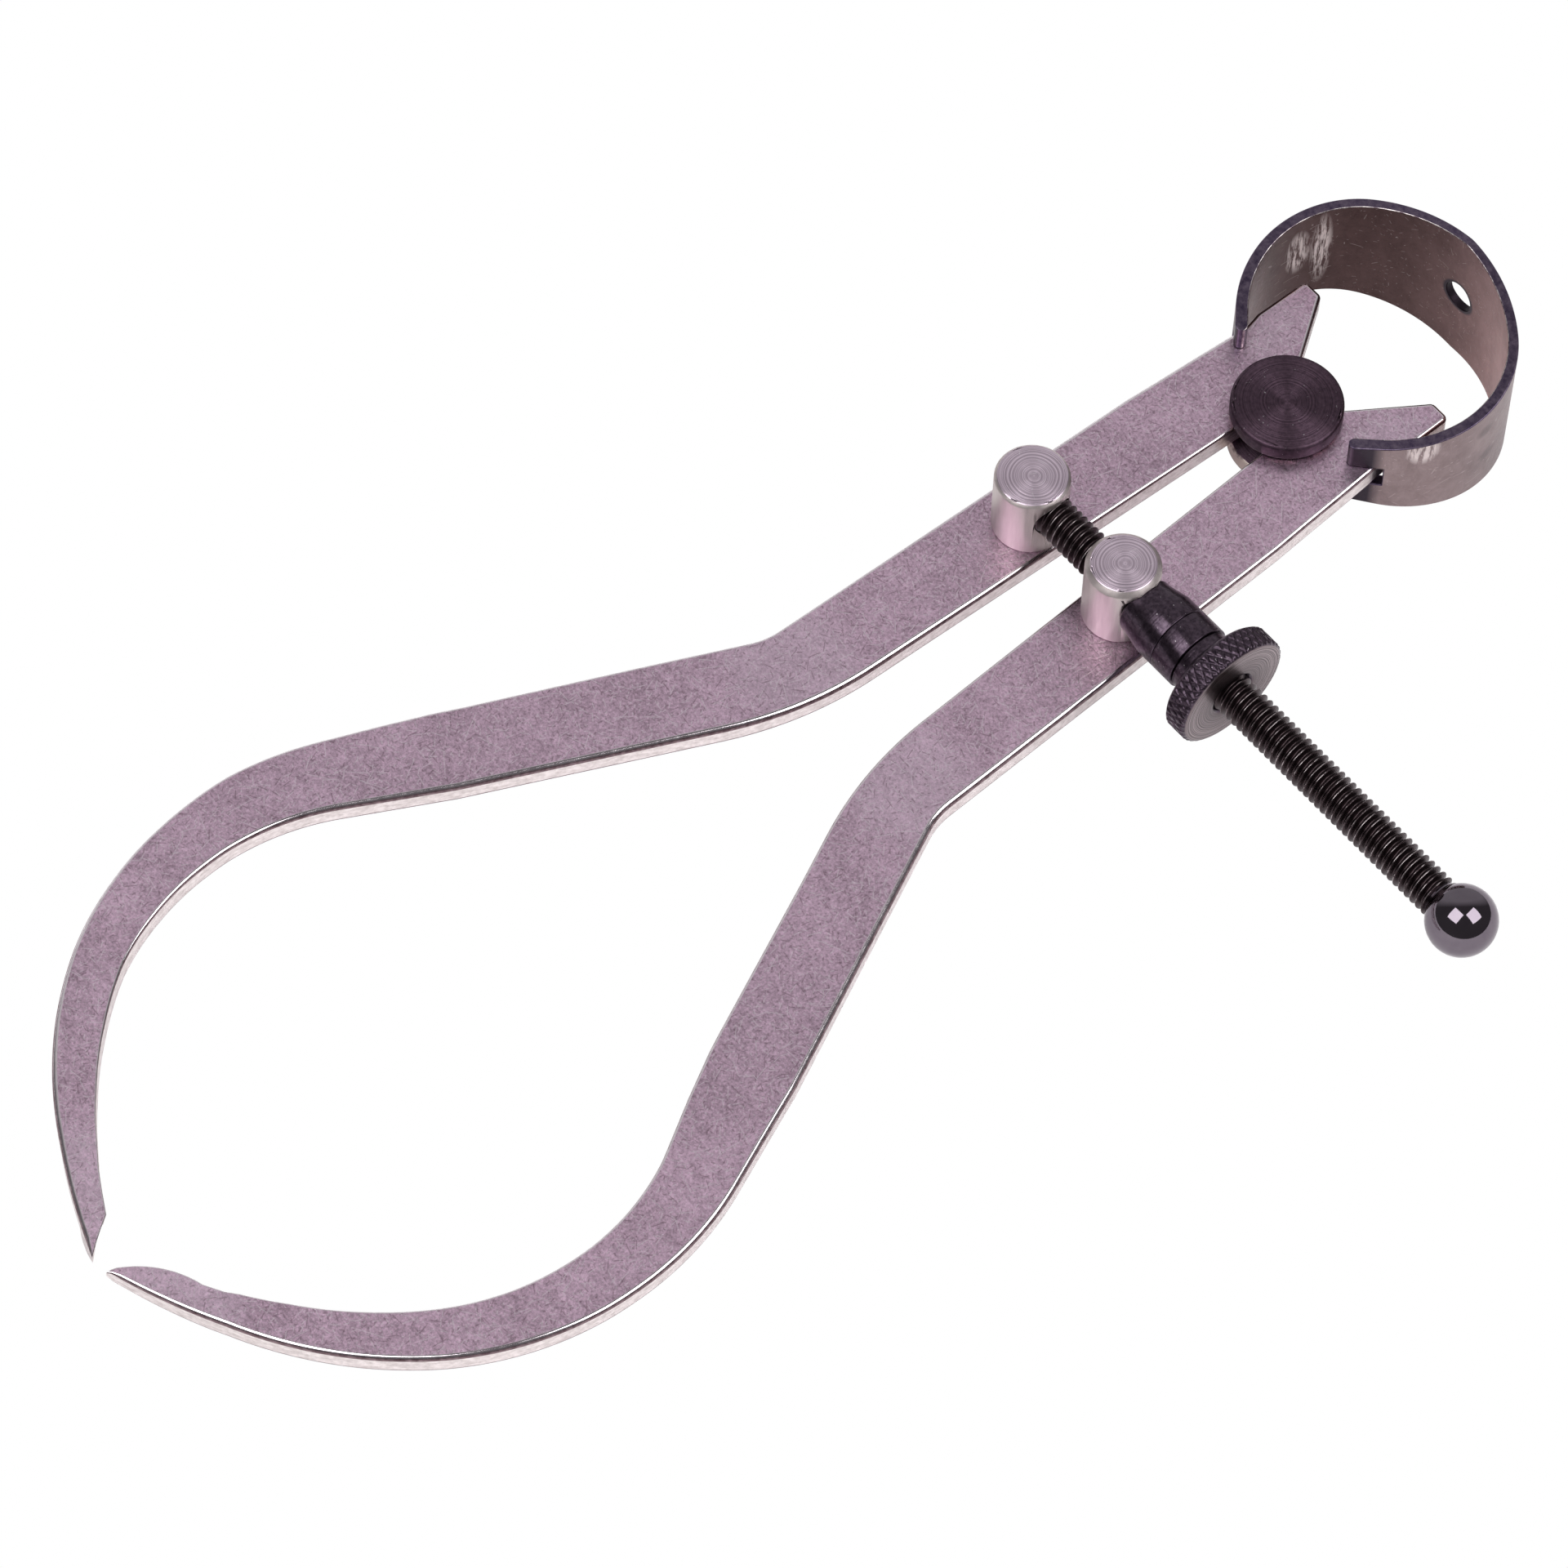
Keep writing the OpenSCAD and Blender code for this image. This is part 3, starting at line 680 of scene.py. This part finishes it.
def plate(rim, hole, thick, edge):
    """A filled outline with rounded edges, as a bmesh about Z 0."""
    curve = bpy.data.curves.new("plate", "CURVE")
    curve.dimensions = "2D"
    curve.fill_mode = "BOTH"
    curve.extrude = thick / 2 - edge
    curve.bevel_depth = edge
    curve.bevel_resolution = 4
    curve.offset = -edge
    for points in (rim, hole):
        spline = curve.splines.new("POLY")
        spline.points.add(len(points) - 1)
        for at, (u, v) in zip(spline.points, points):
            at.co = (u, v, 0, 1)
        spline.use_cyclic_u = True
    temp = bpy.data.objects.new("plate", curve)
    bpy.context.scene.collection.objects.link(temp)
    flat = bpy.data.meshes.new_from_object(temp.evaluated_get(bpy.context.evaluated_depsgraph_get()))
    bpy.data.objects.remove(temp)
    bm = bmesh.new()
    bm.from_mesh(flat)
    bmesh.ops.remove_doubles(bm, verts=bm.verts, dist=1e-4)
    bmesh.ops.recalc_face_normals(bm, faces=bm.faces[:])
    return bm


def plate_normals(bm, thick):
    """Flat faces keep a flat normal, so only the rounded edge shades round."""
    normals = []
    for v in bm.verts:
        n = Vector((0, 0, 0))
        level = abs(abs(v.co.z) - thick / 2) < 1e-3
        for f in v.link_faces:
            if level == (abs(f.normal.z) > 0.999):
                n += f.normal * f.calc_area()
        normals.append(n.normalized() if n.length > 1e-9 else v.normal.copy())
    return normals


def slots(bm, round_from, round_to):
    """Material 0 on the faces, 1 on the rounded edge and 2 on the sides, by how far each face looks up."""
    for f in bm.faces:
        f.smooth = True
        up = abs(f.normal.z)
        f.material_index = 0 if up > round_to else 1 if up > round_from else 2


def varied_plate(rim, hole, thick):
    """A plate from an outline of (x, y, edge radius). Gives vertices, faces, materials and corner normals."""
    pts = np.array([q for i, q in enumerate(rim) if math.dist(q[:2], rim[i - 1][:2]) > 0.02])
    nxt = np.roll(pts, -1, 0)
    if np.sum(pts[:, 0] * nxt[:, 1] - nxt[:, 0] * pts[:, 1]) < 0:
        pts = pts[::-1]
    flat, r = pts[:, :2], pts[:, 2:]
    edge = np.roll(flat, -1, 0) - flat
    edge /= np.linalg.norm(edge, axis=1, keepdims=True)
    out = np.stack([edge[:, 1], -edge[:, 0]], -1)
    before = np.roll(out, 1, 0)
    middle = out + before
    middle /= np.linalg.norm(middle, axis=1, keepdims=True)
    reach = 1 / np.clip((middle * out).sum(-1, keepdims=True), 0.3, 1)
    sharp = (out * before).sum(-1) < math.cos(math.radians(28))
    count = len(flat)
    # Loops of the outline from the lower face round the edge to the upper one
    quarter = np.linspace(0, math.pi / 2, 5)
    levels = [(-1, a) for a in quarter[::-1]] + [(1, a) for a in quarter]
    verts = []
    for up, a in levels:
        inward = middle * reach * r * (1 - math.cos(a))
        verts.append(np.hstack([flat - inward, up * (thick / 2 - r * (1 - math.sin(a)))]))
    faces, slot, normals = [], [], []
    for k in range(len(levels) - 1):
        steep = abs(levels[k][0] * math.sin(levels[k][1]) + levels[k + 1][0] * math.sin(levels[k + 1][1])) / 2
        # Slot 3, half way round the edge, takes the painted dark line
        kind = 2 if steep < 0.1 else 3 if steep < 0.6 else 1
        for i in range(count):
            j = (i + 1) % count
            faces.append((k * count + i, k * count + j, (k + 1) * count + j, (k + 1) * count + i))
            slot.append(kind)
            for level, c in ((k, i), (k, j), (k + 1, j), (k + 1, i)):
                up, a = levels[level]
                side = out[i] if sharp[c] else middle[c]
                normals.append((side[0] * math.cos(a), side[1] * math.cos(a), up * math.sin(a)))
    first = len(verts) * count
    top = (len(levels) - 1) * count
    holes = len(hole)
    for up, ring_at, hole_at in ((-1, 0, first), (1, top, first + holes)):
        verts.append(np.array([(x, y, up * thick / 2) for x, y in hole]))
        ring = verts[0 if up < 0 else len(levels) - 1]
        loops = [[Vector(q) for q in ring], [Vector(q) for q in verts[-1]]]
        place = {n: (ring_at + n if n < count else hole_at + n - count) for n in range(count + holes)}
        both = loops[0] + loops[1]
        for tri in tessellate_polygon(loops):
            a, b, c = (both[n] for n in tri)
            if (b - a).cross(c - a).z * up < 0:
                tri = tri[::-1]
            faces.append(tuple(place[n] for n in tri))
            slot.append(0)
            normals += [(0, 0, up)] * 3
    centre = np.mean(hole, 0)
    for i in range(holes):
        j = (i + 1) % holes
        faces.append((first + j, first + i, first + holes + i, first + holes + j))
        slot.append(2)
        for c in (j, i, i, j):
            n = (centre - np.array(hole[c])) / np.linalg.norm(centre - np.array(hole[c]))
            normals.append((n[0], n[1], 0))
    return np.concatenate(verts), faces, slot, normals


# Legs: the outline that part.scad gives them, a little slimmer where the photo's far edges stand back

STOCK_W, LEG_OFFSET, ARM_LEAN, ARM_LEN = 10.1, 6.9, 2, 54.5
BEND_R, HOLLOW_R, SHANK_ANGLE, SHANK_LEN = 39, 9, 25.3, 40.8
BOW_UPPER_R, BOW_LOWER_R, BOW_JOIN, BOW_END = 33.2, 43.5, 35, 61
BOW_W, POINT_W, BACK_R, BACK_LEN = 7.3, 4.5, 74, 13.7
TAIL_H, TAIL_W, TAIL_ANGLE = 13.2, 2.5, 33.7
PAD_R, PAD_LEN, PAD_ANGLE = 11.5, 9.9, 49
BEVEL_ANGLE, UNDERCUT_ANGLE, TIP_REACH = math.radians(34), math.radians(20), 14
# At these lengths along the leg: how much slimmer each side is, and the radius of its edge
ALONG = [90, 110, 118, 126, 134, 142, 150, 158, 166, 174, 179]
SLIM = {
    "right_in": [0.60, 0.36, 0.40, 0.68, 0.71, 0.63, 0.60, 0.50, 0.43, 0.48, 0.80],
    "right_out": [0, 0, 0, -0.05, -0.12, -0.18, -0.2, -0.2, -0.15, -0.05, 0],
    "left_in": [0, 0, 0, 0, 0, 0, 0.15, 0.39, 0.28, 0.40, 0.68],
    "left_out": [0.45, 0.65, 0.45, 0.38, 0.16, 0.35, 0.32, 0.09, 0, 0, 0],
}
ROUND = {
    "right_in": [0.30, 0.30, 0.30, 0.30, 0.28, 0.26, 0.24, 0.22, 0.20, 0.17, 0.14],
    "right_out": [0.58, 0.58, 0.57, 0.55, 0.53, 0.50, 0.50, 0.50, 0.50, 0.50, 0.50],
    "left_in": [0.58, 0.58, 0.55, 0.52, 0.48, 0.44, 0.36, 0.28, 0.22, 0.16, 0.12],
    "left_out": [0.30, 0.30, 0.30, 0.30, 0.30, 0.30, 0.34, 0.45, 0.52, 0.55, 0.52],
}


def corner(a, b, c, r, steps=6):
    """The corner a-b-c, rounded."""
    a, b, c = (np.array(q, float) for q in (a, b, c))
    u, v = (a - b) / np.linalg.norm(a - b), (c - b) / np.linalg.norm(c - b)
    half = math.acos(float(u @ v)) / 2
    centre = b + (u + v) / np.linalg.norm(u + v) * r / math.sin(half)
    start, end = b + u * r / math.tan(half) - centre, b + v * r / math.tan(half) - centre
    out = []
    for k in range(steps + 1):
        w = start * (1 - k / steps) + end * k / steps
        out.append(tuple(centre + w / np.linalg.norm(w) * r))
    return out


def tip_face(tip, pad):
    """The pad's arc or the bevel, from the tip to where the leg's inner edge begins."""
    if pad:
        half_turn = math.degrees(math.asin(PAD_LEN / 2 / PAD_R))
        runs = [arc(PAD_R, -2 * half_turn)]
        start = (*tip, 180 - PAD_ANGLE + half_turn)
        face = [along_runs(runs, start, s)[:2] for s in np.linspace(0, runs[0][0], 20)[1:]]
        return face + [(10.67, -152.76)]
    sin, cos = math.sin(BEVEL_ANGLE), math.cos(BEVEL_ANGLE)
    face = [(tip[0] + d * sin, tip[1] + d * cos) for d in (1.5, 3.1, 4.7)]
    return face + [(6.28, -155.2), (8.36, -154.0)]


def tail_outline():
    """The seat for the stud's core and the tail's outline, round to the leg's outer edge."""
    lean = math.radians(ARM_LEAN)

    def arm_x(y, side):
        return LEG_OFFSET - y * math.tan(lean) + side * STOCK_W / 2 / math.cos(lean)

    tail_in, tail_out = (arm_x(TAIL_H, 1) - TAIL_W, TAIL_H), (arm_x(TAIL_H, 1), TAIL_H)

    def tail_x(y):
        return tail_in[0] - math.tan(math.radians(TAIL_ANGLE)) * (TAIL_H - y)

    # Where the seat cuts the tail's inner edge and the arm's
    high = next(y for y in np.arange(0, TAIL_H, 0.002) if y > 1 and tail_x(y) > 0
                and math.hypot(tail_x(y), y) > SEAT_R)
    low = next(y for y in np.arange(0, -6, -0.002) if math.hypot(arm_x(y, -1), y) > SEAT_R)
    sweep = np.linspace(math.atan2(high, tail_x(high)), math.atan2(low, arm_x(low, -1)), 16)
    seat = [(SEAT_R * math.cos(a), SEAT_R * math.sin(a)) for a in sweep]
    tail = corner(seat[0], tail_in, tail_out, 0.7) + corner(tail_in, tail_out, (arm_x(6, 1), 6), 0.7)
    # The edge narrows a little up to where it meets the bow spring
    tail += [(11.6, 6.3), (11.12, 4.2), (11.15, 3.2), (11.32, 1.8), (11.63, -2.5), (11.94, -7.4),
             (12.27, -12)]
    return seat, tail


def leg_outline(pad):
    lean = math.radians(ARM_LEAN)
    arm = ARM_LEN + TAIL_H / math.cos(lean)
    runs = [(arm, 0), arc(BEND_R, SHANK_ANGLE - ARM_LEAN), (SHANK_LEN, 0),
            arc(BOW_UPPER_R, -SHANK_ANGLE - BOW_JOIN), arc(BOW_LOWER_R, BOW_JOIN - BOW_END)]
    start = (LEG_OFFSET - TAIL_H * math.tan(lean), TAIL_H, ARM_LEAN)
    total = sum(r[0] for r in runs)
    bow_start = runs[0][0] + runs[1][0] + SHANK_LEN * 0.7
    bow_middle = bow_start + SHANK_LEN * 0.3 + arc(BOW_UPPER_R, SHANK_ANGLE)[0]
    stations = [arm + s for s in np.arange(0, total - arm, 0.6)] + [total]
    places = [along_runs(runs, start, s) for s in stations]
    name = "right_" if pad else "left_"
    half = np.interp(stations, [bow_start, bow_middle, total], [STOCK_W / 2, BOW_W / 2, POINT_W / 2])
    half_in, half_out = (half - np.interp(stations, ALONG, SLIM[name + side]) for side in ("in", "out"))
    round_in, round_out = (np.interp(stations, ALONG, ROUND[name + side]) for side in ("in", "out"))
    bend_end = arm + runs[1][0]
    below = [(*beside(q, w), r) for q, w, r, s in zip(places, half_out, round_out, stations)
             if s > bend_end + 6]
    arm_end = beside(places[0], half_out[0])
    reach = (BEND_R - STOCK_W / 2) * math.tan(math.radians(SHANK_ANGLE - ARM_LEAN) / 2)
    hollow = (arm_end[0] + reach * math.sin(lean), arm_end[1] - reach * math.cos(lean))
    shoulder = corner((LEG_OFFSET + STOCK_W / 2, 0), hollow, below[0][:2], HOLLOW_R, 12)
    outer = [(*q, round_out[0]) for q in shoulder] + below
    inner = [(*beside(q, -w), r) for q, w, r in zip(places, half_in, round_in)]
    back_runs = [arc(BACK_R, -math.degrees(BACK_LEN / BACK_R))]
    back_start = (*beside(places[-1], POINT_W / 2), places[-1][2])
    back = []
    for s in np.linspace(0.6, BACK_LEN, 22):
        r = np.interp(s, [0, BACK_LEN - 2, BACK_LEN], [round_out[-1], 0.42, 0.12])
        back.append((*along_runs(back_runs, back_start, s)[:2], r))
    tip = back[-1][:2]
    seat, tail = tail_outline()
    rim = [(*q, 0.45) for q in tail] + outer + back + [(*q, 0.13) for q in tip_face(tip, pad)]
    return rim + [q for q in reversed(inner) if q[1] < -3] + [(*q, 0.3) for q in reversed(seat)], tip


def shape_tip(co, tip, pad):
    """The left tip's bevel leans under itself, and both tips thin towards the point."""
    dx, dy = co.x - tip[0], co.y - tip[1]
    d = math.hypot(dx, dy)
    if d > TIP_REACH:
        return
    up = (co.z + LEG_T / 2) / LEG_T
    if pad:
        nib = max(0, 1 - d / 1.1) ** 2
        co.z += (1 - up) * (0.9 * max(0, 1 - d / 12) ** 1.3 + 0.5 * nib) - up * 0.7 * nib
    else:
        sin, cos = math.sin(BEVEL_ANGLE), math.cos(BEVEL_ANGLE)
        inside = dx * cos - dy * sin
        along = dx * sin + dy * cos
        fade = min(max(1 - inside / 2.5, 0), 1) * min(max(along / 3, 0), 1)
        fade *= min(max((5.4 - along) / 1.4, 0), 1)
        push = fade * (LEG_T / 2 - co.z) * math.tan(UNDERCUT_ANGLE)
        co.x += push * cos
        co.y -= push * sin
        co.z += (1 - up) * 0.7 * max(0, 1 - d / 8) ** 1.3 - up * 0.8 * max(0, 1 - d / 2.2) ** 1.3


def leg(name, pad, mats):
    """A leg in the right leg's place. The left one is mirrored, so its faces turn over."""
    rim, tip = leg_outline(pad)
    verts, faces, slot, normals = varied_plate(rim, circle(POST_X, POST_Y, POST_HOLE_R), LEG_T)
    shaped = [Vector(v) for v in verts]
    for v in shaped:
        shape_tip(v, tip, pad)
    if not pad:
        shaped = [Vector((-v.x, v.y, v.z)) for v in shaped]
        turned, at = [], 0
        for f in faces:
            turned += [(-x, y, z) for x, y, z in reversed(normals[at:at + len(f)])]
            at += len(f)
        faces, normals = [f[::-1] for f in faces], turned
    placed = [v + Vector((0, 0, LEG_MID)) for v in shaped]
    body, cad_node = ("right_side", "right_leg") if pad else ("left_side", "left_leg")
    obj = piece(name, placed, faces, body, [cad_node], mats[0])
    more_materials(obj, mats, slot)
    obj.data.normals_split_custom_set(normals)


# Bow spring

CROWN_T, END_T, CROWN_W, END_W = 1.0, 1.4, 19.8, 9.9
CROWN_R, CROWN_TURN, SIDE_R, END_R = 18.2456, 37.5, 11.6, 13.2
CROWN_Y, SIDE_END, SEAT_HEADING, TINE = 25.8187, -15, -48, 2.7
FORK_X, FORK_H = 11.6, 3.1
STRIP_EDGE, ROUND_END = 0.12, END_T / 2
SPRING_RUNS = [arc(CROWN_R, -CROWN_TURN), arc(SIDE_R, SIDE_END - 90 + CROWN_TURN),
               arc(END_R, SEAT_HEADING - SIDE_END), (TINE, 0)]
SPRING_LEN = sum(r[0] for r in SPRING_RUNS)
# Where each side's end starts to round off. The photo's left tine is a little shorter than the right one
LAST = {-1: SPRING_LEN - 0.75, 1: SPRING_LEN + 0.3}


def spring_frame(s):
    """Centre, direction of growing s and outward direction of the strip, at a distance from the crown."""
    side = 1 if s >= 0 else -1
    over = max(0, abs(s) - SPRING_LEN)
    x, y, h = along_runs(SPRING_RUNS, (0, CROWN_Y, 90), abs(s))
    sin, cos = math.sin(math.radians(h)), math.cos(math.radians(h))
    x, y = x + over * sin, y - over * cos
    return np.array([side * x, y]), np.array([sin, -side * cos]), np.array([side * cos, sin])


def strip_half(s):
    """Half the strip's width at a distance from the crown."""
    return (CROWN_W + (END_W - CROWN_W) * min(abs(s) / SPRING_LEN, 1)) / 2


def flat_strip():
    """The strip laid flat, with forked ends and the hang hole, cut across so that it can bend."""
    s_slot = next(s for s in np.arange(SPRING_LEN - 8, SPRING_LEN, 0.01) if spring_frame(s)[0][0] < FORK_X)
    ends = {side: LAST[side] + ROUND_END * 0.985 for side in LAST}
    line = [(s, strip_half(s)) for s in np.linspace(ends[1], -ends[-1], 160)]
    fork = FORK_H / 2
    rim = [(ends[1], fork)] + line
    rim += [(-ends[-1], fork), (-s_slot, fork), (-s_slot, -fork), (-ends[-1], -fork)]
    rim += [(s, -w) for s, w in reversed(line)]
    rim += [(ends[1], -fork), (s_slot, -fork), (s_slot, fork)]
    bm = plate(rim, circle(0, 0, HANG_R), CROWN_T, STRIP_EDGE)
    cuts = [0] + list(np.arange(-SPRING_LEN, SPRING_LEN, 0.4))
    for f in (0, 0.2, 0.4, 0.6, 0.75, 0.87, 0.95):
        cuts += [side * (LAST[side] + ROUND_END * f) for side in (-1, 1)]
    for s in cuts:
        whole = bm.verts[:] + bm.edges[:] + bm.faces[:]
        bmesh.ops.bisect_plane(bm, geom=whole, dist=1e-5, plane_co=(s, 0, 0), plane_no=(1, 0, 0))
    bm.normal_update()
    slots(bm, 0.25, 0.97)
    for f in bm.faces:
        if f.normal.z < -0.25:
            f.material_index += 3
        # Faces round the hang hole's wall take slot 6, its painted shade
        if f.calc_center_median().xy.length < HANG_R + 0.3 and abs(f.normal.z) < 0.97:
            f.material_index = 6
    return bm


def bend(bm):
    """Bends the flat strip to the spring's line. Gives each vertex's normal and its place along the strip."""
    normals = plate_normals(bm, CROWN_T)
    along_strip = [v.co.x for v in bm.verts]
    # Growing s, the strip's width and its outward side make a left-handed frame once bent
    for i, v in enumerate(bm.verts):
        s, n = v.co.x, normals[i]
        at, along, out = spring_frame(s)
        past = min(max((abs(s) - LAST[1 if s > 0 else -1]) / ROUND_END, 0), 0.985)
        full = math.sqrt(1 - past * past)
        thick = (CROWN_T + (END_T - CROWN_T) * min(abs(s) / SPRING_LEN, 1)) / CROWN_T * full
        spot = at + out * v.co.z * thick
        lean = math.copysign(past, s) * abs(n.z)
        turned = along * (n.x + lean) + out * n.z * full
        v.co = Vector((spot[0], spot[1], LEG_MID + v.co.y))
        normals[i] = Vector((turned[0], turned[1], n.y)).normalized()
    bm.normal_update()
    bm.verts.index_update()
    face = max(bm.faces, key=lambda f: f.calc_area())
    if face.normal.dot(normals[face.verts[0].index]) < 0:
        bmesh.ops.reverse_faces(bm, faces=bm.faces[:])
    return normals, along_strip


def bow():
    """Two halves, each running from its own leg to the crown."""
    bm = flat_strip()
    normals, along_strip = bend(bm)
    edge = spring_edge()
    mats = [spring_face("tempered_outside", False), edge, edge, spring_face("tempered_inside", True),
            spring_worn(), edge, shaded_hole_wall()]
    # The left half runs on a little under the right one, which covers the joint when the legs are open
    for name, side, run_on, under in (("bow_left", -1, 1.2, 0.02), ("bow_right", 1, 0, 0)):
        mine = [f for f in bm.faces
                if side * sum(along_strip[v.index] for v in f.verts) / len(f.verts) > -run_on]
        kept = sorted({v.index for f in mine for v in f.verts})
        place = {old: new for new, old in enumerate(kept)}
        bm.verts.ensure_lookup_table()
        verts = [bm.verts[i].co - normals[i] * (under if along_strip[i] > 0.05 else 0) for i in kept]
        faces = [[place[v.index] for v in f.verts] for f in mine]
        obj = piece(name, verts, faces, None, ["bow_spring"], mats[0])
        more_materials(obj, mats, [f.material_index for f in mine])
        obj.data.normals_split_custom_set_from_vertices([tuple(normals[i]) for i in kept])
        if side < 0:
            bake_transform(obj)
        else:
            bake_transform(obj)
    bm.free()


# CAD nodes that stay: rounded edges and a better material

def finish_cad(name, mat, width):
    obj = frame["nodes"][name]
    mesh = obj.data
    mesh.materials.clear()
    mesh.materials.append(mat)
    mesh.polygons.foreach_set("use_smooth", [True] * len(mesh.polygons))
    mesh.polygons.foreach_set("material_index", [0] * len(mesh.polygons))
    weld = obj.modifiers.new("weld", "WELD")
    weld.merge_threshold = 1e-6
    bevel = obj.modifiers.new("round", "BEVEL")
    bevel.width = width * MM
    bevel.segments = 3
    bevel.limit_method = "ANGLE"
    bevel.angle_limit = math.radians(30)
    bevel.use_clamp_overlap = False
    bevel.harden_normals = True
    bevel.miter_outer = "MITER_ARC"


camera()
floor()
world()
softbox("left_softbox", (-0.0955, -0.4558, 0.885), 1.2, 0.78, 3.6)
softbox("right_softbox", (0.4926, 0.298, 0.8164), 1.2, 0.78, 3.6)

leg_mats = [leg_face(), leg_round(), leg_side(), dark_line_shade()]
leg("leg_bevelled", False, leg_mats)
leg("leg_padded", True, leg_mats)
finish_cad("fulcrum_stud", stud_steel(), 0.12)
finish_cad("left_post", post_steel("turned_left_post", -POST_X, 13.95), 0.12)
finish_cad("right_post", post_steel("turned_right_post", POST_X, 14.4), 0.12)
finish_cad("nut_nose", nut_steel("blacked_nose"), 0.12)
finish_cad("nut_sleeve", nut_steel("blacked_sleeve"), 0.08)
thread()
ball()
nut()
bow()

bpy.context.scene.view_settings.view_transform = "Standard"
